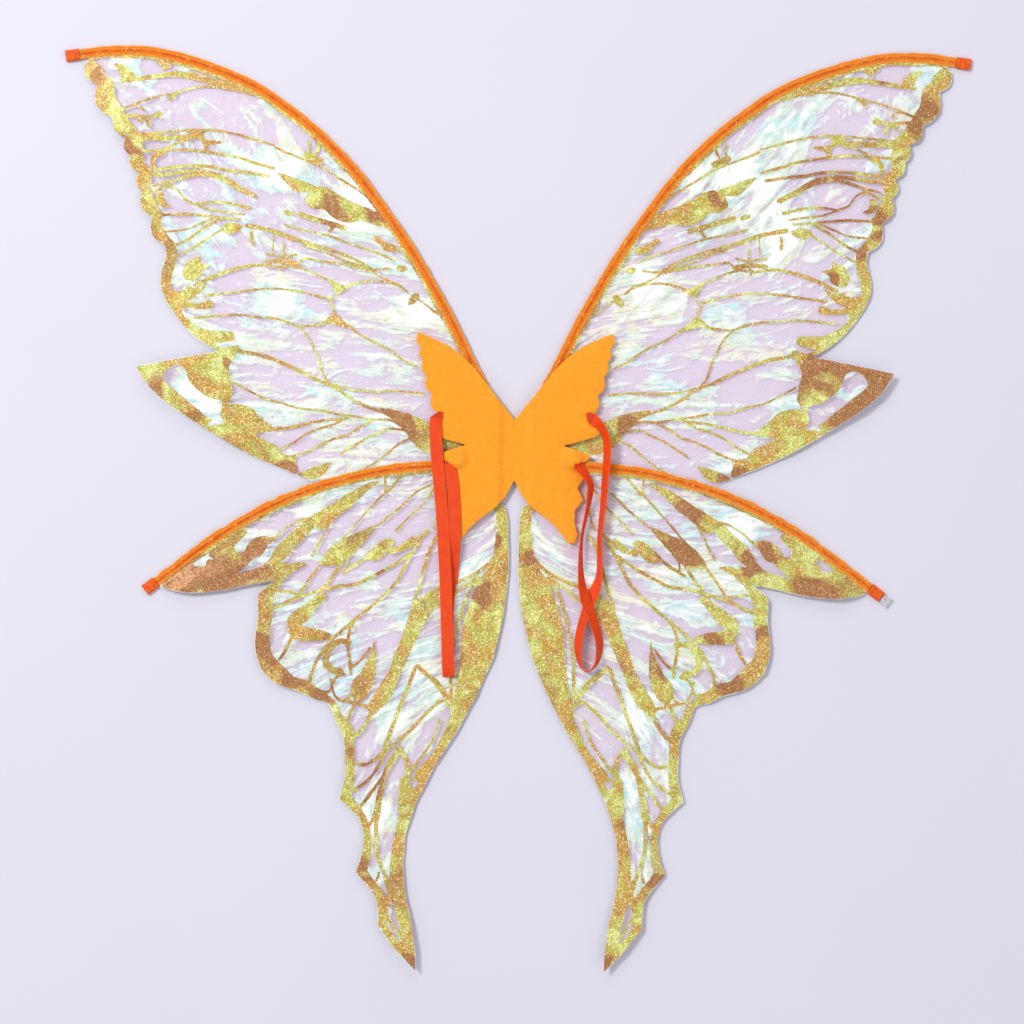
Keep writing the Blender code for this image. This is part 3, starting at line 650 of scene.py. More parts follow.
def spar_line(layer):
    """Centre line of a spar, as X, Y, Z, from the inner end of its sleeve."""
    route, (high, low), drop, first, _ = SPARS[layer]
    line, _ = spaced(curve_through(route, 8)[first * 8 :], LINE_STEP)
    height = high - (high - low) * smooth(line[:, 0], *drop)
    return np.column_stack([line, height])


# ---------------------------------------------------------------- materials


class Shader:
    """One material, with short ways to add nodes to it."""

    def __init__(self, name, **sockets):
        self.material = bpy.data.materials.new(name)
        self.material.use_nodes = True
        self.tree = self.material.node_tree
        self.surface = self.tree.nodes["Principled BSDF"]
        for socket, value in sockets.items():
            self.surface.inputs[socket.replace("_", " ")].default_value = value

    def link(self, value, socket):
        if isinstance(value, bpy.types.NodeSocket):
            self.tree.links.new(value, socket)
        else:
            socket.default_value = value

    def set(self, name, value):
        self.link(value, self.surface.inputs[name])

    def node(self, kind, options=None, **inputs):
        made = self.tree.nodes.new("ShaderNode" + kind)
        for key, value in (options or {}).items():
            setattr(made, key, value)
        for key, value in inputs.items():
            self.link(value, made.inputs[key.replace("_", " ")])
        return made

    def attribute(self, name, output="Fac"):
        return self.node("Attribute", {"attribute_name": name}).outputs[output]

    def place(self, scale=(1, 1, 1), source=None):
        """Object coordinates in metres, or another vector, times a scale."""
        source = source or self.node("TexCoord").outputs["Object"]
        return self.node("Mapping", Vector=source, Scale=scale).outputs[0]

    def noise(self, vector, scale, detail=2.0, rough=0.5, distortion=0.0):
        made = self.node(
            "TexNoise", Vector=vector, Scale=scale, Detail=detail, Roughness=rough,
            Distortion=distortion,
        )  # fmt: skip
        return made.outputs[0]

    def flakes(self, vector, scale, output="Color"):
        return self.node("TexVoronoi", Vector=vector, Scale=scale).outputs[output]

    def steps(self, value, low, high, start=0.0, end=1.0):
        """Value taken from low..high to start..end, clamped."""
        made = self.node("MapRange", Value=value)
        for key, number in (("From Min", low), ("From Max", high), ("To Min", start), ("To Max", end)):
            made.inputs[key].default_value = number
        return made.outputs[0]

    def math(self, operation, a, b=0.0):
        made = self.node("Math", {"operation": operation})
        self.link(a, made.inputs[0])
        self.link(b, made.inputs[1])
        return made.outputs[0]

    def mix(self, factor, a, b, blend="MIX"):
        made = self.node("MixRGB", {"blend_type": blend}, Fac=factor)
        for colour, socket in ((a, made.inputs["Color1"]), (b, made.inputs["Color2"])):
            self.link(colour if isinstance(colour, bpy.types.NodeSocket) else (*colour, 1), socket)
        return made.outputs[0]

    def part(self, vector, axis):
        return self.node("SeparateXYZ", Vector=vector).outputs[axis]

    def bump(self, height, distance, strength=1.0):
        made = self.node("Bump", Height=height, Distance=distance, Strength=strength)
        self.set("Normal", made.outputs[0])


def film_material(name, seed):
    """Clear lilac film with crinkled white, mint, cyan and pale yellow streaks, which are painted
    reflections of the lamps, and painted white glints.
    """
    shader = Shader(name, IOR=1.45)
    flow = shader.attribute("flow", "Vector")
    shifted = shader.node("VectorMath", {"operation": "ADD"})
    shader.link(flow, shifted.inputs[0])
    shifted.inputs[1].default_value = (seed * 0.7, seed * 0.3, seed * 1.1)
    flow = shifted.outputs[0]
    streaks = shader.noise(shader.place((8, 46, 1), flow), 1.0, 4.0, 0.52, 1.8)
    crinkle = shader.noise(shader.place((26, 60, 1), flow), 1.0, 5.0, 0.60, 2.8)
    foam = shader.noise(shader.place(), 150.0, 6.0, 0.7, 0.8)
    zones = shader.noise(shader.place(), 15.0 + seed * 0.4, 2.0, 0.5, 0.9)
    # How much painted reflection of the lamps shows: the streaks, crinkles, foam, painted flares and
    # zones.
    level = shader.math("MULTIPLY", streaks, 0.46)
    for value, weight in ((crinkle, 0.36), (foam, 0.18), (shader.attribute("painted_flare"), 0.11)):
        level = shader.math("ADD", level, shader.math("MULTIPLY", value, weight))
    level = shader.math("ADD", level, shader.steps(zones, 0.36, 0.60, -0.045, 0.055))
    # Painted reflection: crinkled streaks where the lamps' reflection is painted into the colour, made
    # less clear.
    painted_reflection = shader.steps(level, 0.490, 0.545)
    # Painted glints: the brightest of the painted reflection, painted pure white and made still less
    # clear.
    painted_glint = shader.steps(level, 0.572, 0.622)
    # Tints of the painted reflection: mint and cyan, pale green, pale yellow and near white.
    tint = shader.noise(shader.place((16, 30, 1), flow), 1.0, 3.0, 0.6, 1.0)
    cool = shader.mix(shader.steps(tint, 0.38, 0.50), (0.62, 0.98, 0.94), (0.80, 1.0, 0.76))
    tinted = shader.mix(shader.steps(tint, 0.52, 0.62), cool, (1.0, 0.99, 0.66))
    pale = shader.mix(shader.steps(crinkle, 0.47, 0.66), tinted, (1.0, 1.0, 0.98))
    lilac = shader.mix(shader.steps(crinkle, 0.35, 0.65), (0.99, 0.70, 0.88), (0.93, 0.76, 0.93))
    colour = shader.mix(painted_reflection, lilac, pale)
    shader.set("Base Color", shader.mix(painted_glint, colour, (1.0, 1.0, 1.0)))
    solid = shader.math("MULTIPLY", painted_glint, 0.22)
    shader.set("Alpha", shader.math("ADD", shader.steps(painted_reflection, 0, 1, 0.28, 0.62), solid))
    shader.set("Roughness", shader.steps(crinkle, 0.3, 0.7, 0.12, 0.34))
    shader.bump(level, 0.0035, 0.6)
    return shader.material


def glitter_material(name):
    """Printed glitter in zones of yellow green, gold and copper brown: gold with yellow-green painted
    highlights and pale painted glints, copper brown partly its own and partly painted shade.
    """
    shader = Shader(name, IOR=1.45)
    place = shader.place()
    patches = shader.noise(place, 19.0, 3.0, 0.6, 0.9)
    # Gold tones, and yellow-green painted highlights where the glitter catches the light.
    gold_and_highlight = shader.noise(place, 33.0, 3.0, 0.6, 0.9)
    gold = shader.mix(shader.steps(gold_and_highlight, 0.43, 0.51), (0.60, 0.335, 0.070), (0.56, 0.49, 0.090))
    gold = shader.mix(shader.steps(gold_and_highlight, 0.56, 0.62), gold, (0.68, 0.70, 0.21))
    patches = shader.steps(patches, 0.36, 0.64, -0.62, 0.50)
    # Copper brown zones: partly the print's own brown, partly painted shade where the glitter catches
    # no light.
    turned = shader.steps(shader.math("ADD", shader.attribute("copper"), patches), 0.05, 0.70)
    colour = shader.mix(turned, gold, (0.40, 0.172, 0.058))
    flakes = shader.part(shader.flakes(place, 1350.0), 0)
    coarse = shader.part(shader.flakes(place, 700.0), 1)
    # Per-flake brightness in the colour: partly each flake's own tone, partly painted sparkle.
    light = shader.steps(flakes, 0, 1, 0.66, 1.36)
    light = shader.math("MULTIPLY", light, shader.steps(coarse, 0, 1, 0.84, 1.16))
    flake_tone_and_sparkle = shader.node("CombineColor", Red=light, Green=light, Blue=light).outputs[0]
    colour = shader.mix(1.0, colour, flake_tone_and_sparkle, "MULTIPLY")
    # Pale yellow specks on the gold: painted glints.
    speck = shader.steps(flakes, 0.88, 0.93)
    speck = shader.math("MULTIPLY", speck, shader.steps(turned, 0.0, 1.0, 1.0, 0.3))
    shader.set("Base Color", shader.mix(speck, colour, (0.96, 0.98, 0.66)))
    shader.set("Metallic", shader.steps(coarse, 0.3, 0.9, 0.05, 0.40))
    shader.set("Roughness", shader.steps(flakes, 0, 1, 0.30, 0.55))
    shader.bump(flakes, 0.0003, 0.8)
    return shader.material


def sleeve_material():
    """Sheer orange satin sleeve: red-orange over the wire, lighter piping, a few gold specks."""
    shader = Shader("sleeve_ribbon", Sheen_Weight=0.08, Sheen_Roughness=0.4, Specular_IOR_Level=0.35)
    across = shader.attribute("across")
    along = shader.attribute("along")
    edge = shader.math("ABSOLUTE", across)
    wander = shader.noise(shader.place(), 160.0, 3.0, 0.6)
    ragged = shader.math("ADD", edge, shader.steps(wander, 0.3, 0.7, -0.12, 0.12))
    core = shader.steps(ragged, 0.26, 0.08)
    colour = shader.mix(core, (0.90, 0.225, 0.008), (0.70, 0.095, 0.004))
    piping = shader.steps(edge, 0.70, 0.86)
    colour = shader.mix(piping, colour, (1.0, 0.37, 0.025))
    worn = shader.steps(wander, 0.45, 0.70, 0.0, 0.45)
    colour = shader.mix(worn, colour, (0.97, 0.30, 0.014))
    speck = shader.steps(shader.part(shader.flakes(shader.place(), 900.0), 0), 0.970, 0.980, 0, 0.6)
    shader.set("Base Color", shader.mix(speck, colour, (0.98, 0.80, 0.30)))
    threads = shader.node("TexWave", {"bands_direction": "X"}, Scale=1.0, Distortion=0.6)
    vector = shader.node("CombineXYZ", X=shader.math("MULTIPLY", along, 900.0), Y=across)
    shader.link(vector.outputs[0], threads.inputs["Vector"])
    shader.set("Roughness", shader.steps(wander, 0.3, 0.7, 0.30, 0.52))
    shader.bump(shader.math("ADD", threads.outputs["Fac"], wander), 0.00022, 0.7)
    return shader.material


def tab_material():
    """Deep red-orange ribbon of the folded tips."""
    shader = Shader(
        "tab_ribbon_looks", Sheen_Weight=0.05, Sheen_Roughness=0.5, Specular_IOR_Level=0.25
    )
    cloud = shader.noise(shader.place(), 240.0, 3.0, 0.6)
    colour = shader.mix(shader.steps(cloud, 0.35, 0.65), (0.66, 0.070, 0.003), (0.86, 0.135, 0.005))
    shader.set("Base Color", colour)
    weave = shader.node("TexWave", {"bands_direction": "DIAGONAL"}, Scale=420.0, Distortion=0.8)
    shader.link(shader.place(), weave.inputs["Vector"])
    shader.set("Roughness", shader.steps(cloud, 0.3, 0.7, 0.38, 0.6))
    shader.bump(weave.outputs["Fac"], 0.0002, 0.6)
    return shader.material


def felt_material():
    """Orange needle felt: matted fibres, faint mottling and fuzz."""
    shader = Shader(
        "felt_looks", Sheen_Weight=0.12, Sheen_Roughness=0.6, Sheen_Tint=(1, 0.6, 0.2, 1),
        Specular_IOR_Level=0.15,
    )  # fmt: skip
    fibre_a = shader.noise(shader.place((1, 0.16, 1)), 1500.0, 4.0, 0.6, 1.2)
    fibre_b = shader.noise(shader.place((0.18, 1, 1)), 1300.0, 4.0, 0.6, 1.2)
    mottle = shader.noise(shader.place(), 150.0, 3.0, 0.6)
    fibres = shader.math("MULTIPLY", shader.math("ADD", fibre_a, fibre_b), 0.5)
    colour = shader.mix(shader.steps(fibres, 0.36, 0.62), (0.82, 0.255, 0.012), (1.0, 0.405, 0.034))
    worn = shader.steps(mottle, 0.3, 0.7, 0.0, 0.35)
    shader.set("Base Color", shader.mix(worn, colour, (0.93, 0.31, 0.022)))
    shader.set("Roughness", shader.steps(fibres, 0.3, 0.7, 0.85, 1.0))
    shader.bump(shader.math("ADD", fibres, shader.math("MULTIPLY", mottle, 0.4)), 0.0006, 0.8)
    return shader.material


def elastic_material(name, dark, light):
    """Red-orange elastic: fine ribs along it, crossed by short weft threads."""
    shader = Shader(
        name, Sheen_Weight=0.05, Sheen_Roughness=0.35, Sheen_Tint=(1, 0.4, 0.1, 1),
        Specular_IOR_Level=0.2,
    )  # fmt: skip
    across = shader.attribute("across")
    along = shader.attribute("along")
    ribs = shader.math("SINE", shader.math("MULTIPLY", across, 47.0))
    weft = shader.math("SINE", shader.math("MULTIPLY", along, 7400.0))
    cloth = shader.math("MULTIPLY", shader.math("ADD", ribs, weft), 0.25)
    cloud = shader.noise(shader.place(), 110.0, 3.0, 0.6)
    colour = shader.mix(shader.steps(cloth, -0.5, 0.5), dark, light)
    edge = shader.steps(shader.math("ABSOLUTE", across), 0.80, 1.0, 0.0, 0.4)
    colour = shader.mix(edge, colour, (0.95, 0.14, 0.02))
    faded = shader.steps(cloud, 0.35, 0.7, 0.0, 0.25)
    shader.set("Base Color", shader.mix(faded, colour, (0.95, 0.12, 0.015)))
    shader.set("Roughness", shader.steps(cloud, 0.3, 0.7, 0.36, 0.55))
    shader.bump(cloth, 0.00022, 0.8)
    return shader.material


def thread_material(name, dark, light):
    """Twisted sewing thread."""
    shader = Shader(name)
    twist = shader.node("TexWave", {"bands_direction": "DIAGONAL"}, Scale=900.0, Distortion=0.4)
    shader.link(shader.place(), twist.inputs["Vector"])
    shader.set("Base Color", shader.mix(twist.outputs["Fac"], dark, light))
    shader.set("Roughness", shader.steps(twist.outputs["Fac"], 0, 1, 0.5, 0.7))
    shader.bump(twist.outputs["Fac"], 0.0001, 0.6)
    return shader.material


def steel_material():
    """Drawn spring wire with fine lines and a dull stain here and there."""
    shader = Shader("spring_wire_looks")
    lines = shader.noise(shader.place((1, 12, 12)), 300.0, 3.0, 0.6)
    colour = shader.mix(shader.steps(lines, 0.3, 0.7), (0.42, 0.42, 0.43), (0.62, 0.62, 0.63))
    shader.set("Base Color", colour)
    shader.set("Metallic", shader.steps(lines, 0.2, 0.3, 0.9, 1.0))
    shader.set("Roughness", shader.steps(lines, 0.3, 0.7, 0.25, 0.45))
    shader.bump(lines, 0.00005, 0.5)
    return shader.material


def lining_material():
    """Cloudy clear film left bare at a tip."""
    shader = Shader("lining_looks", IOR=1.45)
    cloud = shader.noise(shader.place(), 420.0, 4.0, 0.6, 0.8)
    colour = shader.mix(shader.steps(cloud, 0.35, 0.65), (0.42, 0.41, 0.40), (0.80, 0.79, 0.80))
    shader.set("Base Color", colour)
    shader.set("Alpha", shader.steps(cloud, 0.35, 0.65, 0.62, 0.88))
    shader.set("Roughness", shader.steps(cloud, 0.3, 0.7, 0.25, 0.5))
    shader.bump(cloud, 0.0004, 0.8)
    return shader.material


def floor_material():
    """Pale lilac backdrop with a few specks of dust."""
    shader = Shader("floor")
    soft = shader.noise(shader.place(), 5.0, 2.0)
    colour = shader.mix(shader.steps(soft, 0.3, 0.7), (0.655, 0.634, 0.722), (0.668, 0.646, 0.735))
    dots = shader.flakes(shader.place(), 46.0, "Distance")
    dust = shader.steps(dots, 0.022, 0.012, 0.0, 0.35)
    shader.set("Base Color", shader.mix(dust, colour, (0.50, 0.47, 0.54)))
    shader.set("Roughness", shader.steps(soft, 0.3, 0.7, 0.7, 0.8))
    return shader.material


# ---------------------------------------------------------------- camera, light and floor


def add_camera():
    """Straight above, turned as the picture is, with the pad's crease just above its middle."""
    lens, sensor, width = 85.0, 36.0, 0.9216
    data = bpy.data.cameras.new("camera")
    data.lens, data.sensor_width = lens, sensor
    data.clip_end = 20
    camera = bpy.data.objects.new("camera", data)
    camera.location = (-0.0017, -0.0028, width * lens / sensor)
    camera.rotation_euler = (0, 0, math.radians(0.55))
    bpy.context.scene.collection.objects.link(camera)
    bpy.context.scene.camera = camera


def add_light(name, place, aim, size, power):
    """A round area light that looks at a point."""
    data = bpy.data.lights.new(name, "AREA")
    data.shape, data.size, data.energy = "DISK", size, power
    light = bpy.data.objects.new(name, data)
    light.location = place
    light.rotation_euler = (Vector(aim) - Vector(place)).to_track_quat("-Z", "Y").to_euler()
    bpy.context.scene.collection.objects.link(light)


def add_stage():
    """Soft even light with its key from the upper left, over a pale floor."""
    world = bpy.data.worlds.new("studio")
    world.use_nodes = True
    sky = world.node_tree.nodes["Background"].inputs
    sky["Color"].default_value = (0.97, 0.98, 1.0, 1)
    sky["Strength"].default_value = 0.64
    bpy.context.scene.world = world
    add_light("key", (-2.0, 1.5, 3.2), (0, 0, 0), 1.0, 98.0)
    add_light("fill", (2.2, -1.6, 3.0), (0, 0, 0), 2.0, 12.0)
    add_light("sweep", (-0.3, 3.4, 1.9), (0, 0.05, 0), 1.6, 16.0)
    half = 4.0
    corners = [(-half, -half, 0), (half, -half, 0), (half, half, 0), (-half, half, 0)]
    mesh = bpy.data.meshes.new("floor")
    mesh.from_pydata(corners, [], [(0, 1, 2, 3)])
    mesh.materials.append(floor_material())
    floor = bpy.data.objects.new("floor", mesh)
    bpy.context.scene.collection.objects.link(floor)
    bpy.context.scene.view_settings.view_transform = "Standard"


# ---------------------------------------------------------------- film and print


def flow_of(x, y, layer, side):
    """Coordinates that fan out from the pad, in metres, so that the painted reflection streaks run
    along the wing.
    """
    radius, turn = np.hypot(x, y), np.arctan2(y, x)
    spread = 0.08 + 0.17 * smooth(radius, 20, 300)  # metres across for each radian of the fan
    offset = (0.0 if layer == "upper" else 3.0) + (0.0 if side > 0 else 7.0)
    return np.stack([radius * MM, turn * spread, np.full(x.shape, offset)], axis=-1)


def spots(x, y, places):
    """1 at the middle of each spot, falling to 0 outside its reach."""
    total = np.zeros(x.shape)
    for px, py, reach in places:
        total = np.maximum(total, 1 - smooth(np.hypot(x - px, y - py), reach * 0.35, reach))
    return total


def film_height(layer, side, x, y, lines):
    """Height of the film: level, gathered up to the spar, rippled, and lifted at its free ends."""
    seed = 11 + 2 * (layer == "lower") + (side > 0)
    own, spar_z = distance_to_line(x, y, lines[layer])
    lower_gap, _ = distance_to_line(x, y, lines["lower"])
    radius, turn = np.hypot(x, y), np.arctan2(y, x)
    fan = 1 - 2 * np.abs(Noise(seed)(radius / 70, turn * 13))
    fine = 1 - 2 * np.abs(Noise(seed + 40)(radius / 30 + 9, turn * 30))
    crumple = Noise(seed + 80)(x / 13, y / 13)
    waves = 0.75 * fan + 0.22 * fine + 0.40 * crumple
    calm = smooth(radius, 85, 150) * smooth(lower_gap, 8, 26) * smooth(own, 5, 18)
    beside_sleeve = smooth(own, 5, 8) * (1 - smooth(own, 12, 22))
    puckers = 0.35 * Noise(seed + 120)(radius / 5, own / 12) * beside_sleeve
    height = FILM_HEIGHT[layer] + waves * calm + puckers * smooth(radius, 85, 120)
    if layer == "upper":
        lobe = smooth(x, 215, 335) * (1 - smooth(y, 70, 110))
        scallops = smooth(x, 285, 350) * smooth(y, 110, 160) * (1 - smooth(y, 300, 345))
        height = height + 6.5 * lobe + 2.0 * scallops
    else:
        lobe = smooth(x, 215, 300) * (1 - smooth(y, -135, -100)) * smooth(own, 5, 20)
        tail = 1 - smooth(y, -465, -380)
        steps = smooth(x, 170, 230) * smooth(own, 20, 50)
        height = height + 4.0 * lobe + 5.0 * tail + 1.5 * steps
    join = 1 - smooth(own, 4.6, 10)
    return height * (1 - join) + spar_z * join


def film_grid(outline, step, layer, lines):
    """Grid of a film, grown under its sleeve's edge."""
    grid = Grid(outline.min(0) - 4, outline.max(0) + 4, step)
    own, _ = distance_to_line(grid.x, grid.y, lines[layer])
    under_sleeve = UNDER_SLEEVE * (1 - smooth(own, 5.2, 8.5))
    grid.field = distance_inside(grid.x, grid.y, outline) - under_sleeve
    if layer == "upper":
        grid.field = np.minimum(grid.field, distance_inside(grid.x, grid.y, FILM_ROOT))
    return grid


def print_grid(outline, layer, lines):
    """Grid of the print: veins, borders and patches, less their windows, inside the film's edge."""
    veins, borders, patches, windows = PATTERNS[layer]
    grid = Grid(outline.min(0) - 4, outline.max(0) + 4, PRINT_STEP)
    for start, end, points in veins:
        line = curve_through(points, 4)
        share = np.linspace(start, end, len(line)) / 2
        grid.add_stroke(np.column_stack([line, share]))
    for border in borders:
        line = curve_through(border, 4)
        line[:, 2] /= 2
        grid.add_stroke(line)
    spar = lines[layer]
    along = unit(np.gradient(spar[:, :2], axis=0))
    beside = spar[:, :2] + np.column_stack([along[:, 1], -along[:, 0]]) * (CASING_WIDTH / 2 + 0.6)
    width = 1.7 + 1.1 * Noise(5)(beside[:, 0] / 16, beside[:, 1] / 16)
    grid.add_stroke(np.column_stack([beside, width]))
    for patch in patches:
        grid.add_patch(curve_through(patch, 4, closed=True))
    film = film_grid(outline, PRINT_STEP, layer, lines).field
    own, _ = distance_to_line(grid.x, grid.y, spar[::6])
    edge = EDGE_PRINT[layer] + 1.5 * Noise(33)(grid.x / 9, grid.y / 9)
    away = (own > 15) & (np.hypot(grid.x, grid.y) > EDGE_PRINT_FROM[layer])
    grid.field = np.minimum(grid.field, np.where(away, -edge - film, 1e3))
    grid.field = grid.field + 0.35 * Noise(31)(grid.x / 2.6, grid.y / 2.6)
    for window in windows:
        grid.cut_window(curve_through(window, 4, closed=True))
    grid.field = np.maximum(grid.field, film + CLEAR_MARGIN)
    return grid


def add_film(layer, side_name, side, film_shape, print_shape, lines, materials):
    """One wing's film and the glitter printed on it."""
    body = wing_body(layer, side_name)
    (x, y), faces = film_shape[0].T, facing_up(film_shape[1], side)
    rows = to_row(x, y, film_height(layer, side, x, y, lines), side)
    # The flow steers the film's painted reflection streaks, and the spots mark painted white flares,
    # painted highlights.
    attributes = [
        ("flow", "FLOAT_VECTOR", flow_of(x, y, layer, side)),
        ("painted_flare", "FLOAT", spots(x, y, PAINTED_FLARE_SPOTS[layer, side_name])),
    ]
    name = f"film_{layer}_{side_name}"
    film = make_mesh(name, rows, faces, materials[name], attributes)
    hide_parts(f"{layer}_film_{side_name}")
    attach(film, body)
    (x, y), faces = print_shape[0].T, facing_up(print_shape[1], side)
    rows = to_row(x, y, film_height(layer, side, x, y, lines) + PRINT_LIFT, side)
    # Copper brown zones of the print: partly its own brown, partly painted shade.
    drift_x, drift_y = (COPPER_AND_SHADE_DRIFT * Noise(seed)(x / 21, y / 21) for seed in (61, 62))
    zones = spots(x + drift_x, y + drift_y, COPPER_AND_SHADE_SPOTS[layer, side_name])
    name = f"glitter_{layer}_{side_name}"
    copper = [("copper", "FLOAT", zones)]
    glitter = make_mesh(name, rows, faces, materials["glitter"], copper)
    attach(glitter, body)
    return film, glitter


# ---------------------------------------------------------------- spars


def frame_along(line):
    """Unit vectors along a 3D line and to the right of it, level."""
    along = unit(np.gradient(line, axis=0))
    return along, unit(np.column_stack([along[:, 1], -along[:, 0], np.zeros(len(line))]))


def profile(count):
    """Across positions of a flat ring, over the top and back underneath, and its side, 1 or -1."""
    top = np.sin(np.linspace(-math.pi / 2, math.pi / 2, count))
    return np.concatenate([top, top[-2:0:-1]]), np.concatenate([np.ones(count), -np.ones(count - 2)])


def skin(name, rings, across, distance, turned, side, material):
    """Closes rings of points into a mesh that stores its place across and along for its material."""
    faces = ring_faces(len(rings), len(across))
    if turned:
        faces = [face[::-1] for face in faces]
    rows = to_row(rings[..., 0], rings[..., 1], rings[..., 2], side).reshape(-1, 3)
    attributes = [
        ("across", "FLOAT", np.tile(across, len(rings))),
        ("along", "FLOAT", np.repeat(distance * MM, len(across))),
    ]
    return make_mesh(name, rows, faces, material, attributes)


def sweep(name, line, half_width, half_height, across, up, side, material, lift=0.0):
    """Skins a flat ring along a line. The half sizes and lift can vary by station and position."""
    along, right = frame_along(line)
    normal = np.cross(right, along)
    rings = line[:, None] + right[:, None] * (half_width * across)[..., None]
    rings = rings + normal[:, None] * (half_height * up + lift)[..., None]
    distance = np.concatenate([[0], np.cumsum(np.linalg.norm(np.diff(line, axis=0), axis=1))])
    return skin(name, rings, across, distance, side < 0, side, material)


def thread_mesh(name, stitches, radius, material):
    """Short rounded threads between pairs of points in the row frame, in metres, as one mesh."""
    shape = [(0.0, 0.35), (0.12, 0.85), (0.5, 1.0), (0.88, 0.85), (1.0, 0.35)]
    corners, faces = 6, []
    points = []
    for start, end in stitches:
        start, end = Vector(start), Vector(end)
        way = (end - start).normalized()
        first = way.orthogonal().normalized()
        second = way.cross(first)
        base = len(points)
        for share, thick in shape:
            middle = start.lerp(end, share)
            for k in range(corners):
                turn = 2 * math.pi * k / corners
                spoke = first * math.cos(turn) + second * math.sin(turn)
                points.append(middle + spoke * radius * thick)
        faces += [tuple(base + i for i in face) for face in ring_faces(len(shape), corners)]
    return make_mesh(name, [tuple(p) for p in points], [f[::-1] for f in faces], material)


def add_sleeve(layer, side_name, side, body, materials):
    """Ribbon sleeve over a spar wire: a ridge, flat flanges, rolled piping and thread stitches."""
    line = spar_line(layer)
    wobble = SPARS[layer][4]
    seed = 200 + 10 * (layer == "lower") + (side > 0)
    across, up = profile(19)
    reach = np.abs(across) * CASING_WIDTH / 2
    half = np.full(reach.shape, CASING_HALF_THICK)
    for rise, middle, spread in (WIRE_RIDGE, PIPING_RIDGE):
        half = half + rise * np.exp(-(((reach - middle) / spread) ** 2))
    distance = np.arange(len(line)) * LINE_STEP
    width_change = wobble * Noise(seed)(distance / 7, 0 * distance)[:, None]
    outer_change = wobble * Noise(seed + 1)(distance / 4, 0 * distance)[:, None] * (across < 0)
    half_width = CASING_WIDTH / 2 - wobble * 0.6 + width_change + outer_change
    pucker = Noise(seed + 2)(*both_ways(distance / 5, across * 1.4))
    flange = smooth(reach, 1.5, 2.6)
    half_height = half * np.ones((len(line), 1)) + 0.16 * pucker * flange
    name = f"sleeve_{layer}_{side_name}"
    sleeve = sweep(
        name, line, half_width, half_height, across, up, side, materials["sleeve"],
        lift=0.18 * pucker * flange,
    )  # fmt: skip
    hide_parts(f"{layer}_casing_{side_name}")
    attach(sleeve, body)
    along, right = frame_along(line)
    stitches = []
    every, reach_in, rise = 3, 3.0, 0.72
    for i in range(2, len(line) - 3, every):
        start = line[i] + right[i] * reach_in + (0, 0, rise)
        end = line[i] + along[i] * 2.3 + right[i] * (reach_in + 0.25) + (0, 0, rise)
        stitches.append([to_row(*p, side) for p in (start, end)])
    name = f"sleeve_stitches_{layer}_{side_name}"
    thread = thread_mesh(name, stitches, 0.16 * MM, materials["sleeve_thread"])
    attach(thread, body)


def add_tab(layer, side_name, side, body, materials):
    """Ribbon square folded over a spar's end, with its loose flap on top and a line of stitches."""
    spar = spar_line(layer)
    way = spar[-1] - spar[-4]
    way = way / np.linalg.norm(way)
    way[2] = 0
    along = np.linspace(0, TAB_LENGTH, 27)
    line = spar[-1] + way * (TAB_START + along)[:, None]
    across, up = profile(17)
    round_end = np.sqrt(np.clip(1 - smooth(along, TAB_LENGTH - 1.4, TAB_LENGTH + 0.6) ** 2, 0.05, 1))
    plump = (1 - np.abs(across) ** 4) ** 0.5
    seed = 300 + 10 * (layer == "lower") + (side > 0)
    crease = 0.16 * Noise(seed)(*both_ways(along / 2.4, across * 2))
    flap = 0.30 * smooth(along, 4.2, 4.7)[:, None] * (up > 0)
    half_height = np.clip(TAB_HALF_THICK * plump * round_end[:, None] + crease, 0.3, 1.85) + flap
    half_width = TAB_HALF_WIDTH * (0.93 + 0.07 * round_end)[:, None] + 0.15 * crease
    tab = sweep(
        f"tab_{layer}_{side_name}", line, half_width, half_height, across, up, side,
        materials["tab"],
    )  # fmt: skip
    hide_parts(f"{layer}_tip_tab_{side_name}")
    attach(tab, body)
    right = np.array([way[1], -way[0], 0])
    row = spar[-1] + way * (TAB_START + TAB_STITCH_FROM) + (0, 0, 1.75)
    stitches = []
    for k in np.arange(-3.6, 3.7, 1.8):
        stitches.append([to_row(*(row + right * (k + half)), side) for half in (-0.6, 0.6)])
    name = f"tab_stitches_{layer}_{side_name}"
    thread = thread_mesh(name, stitches, 0.2 * MM, materials["strap_thread"])
    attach(thread, body)


def add_lining_end(body, materials):
    """Bare crumpled square of the clear lining past the lower right tab."""
    spar = spar_line("lower")
    way = spar[-1] - spar[-4]
    way[2] = 0
    way = way / np.linalg.norm(way)
    along = np.linspace(0, LINING_LENGTH, 19)
    start = TAB_LENGTH + 2 * TAB_START
    line = spar[-1] + way * (start + along)[:, None]
    across, up = profile(13)
    crumple = 0.28 * Noise(401)(*both_ways(along / 2.2, across * 1.6))
    half_width = LINING_HALF_WIDTH + 0.25 * Noise(402)(*both_ways(along / 2, np.sign(across)))
    piece = sweep(
        "lining_end_right", line, half_width, 0.16 + 0 * crumple, across, up, 1, materials["lining"],
        lift=crumple,
    )  # fmt: skip
    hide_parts("lower_tip_lining_right")
    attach(piece, body)


# ---------------------------------------------------------------- felt pad


def bend_pad(piece):
    """Bakes a piece of the pad's placement into its mesh."""
    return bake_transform(piece)


def distance_to_rim(x, y, lobes):
    """Distance from points in the pad to its rim, past the line where its two lobes meet."""
    depth = np.full(x.shape, 1e9)
    for lobe in lobes:
        for a, b in zip(lobe, np.roll(lobe, -1, axis=0)):
            ends = np.array([a, b])
            gap, _ = distance_to_line(ends[:, 0], ends[:, 1], SPLIT_LINE)
            if gap.max() > 0.5:
                edge = np.column_stack([ends, [0, 0]])
                depth = np.minimum(depth, distance_to_line(x, y, edge)[0])
    return depth


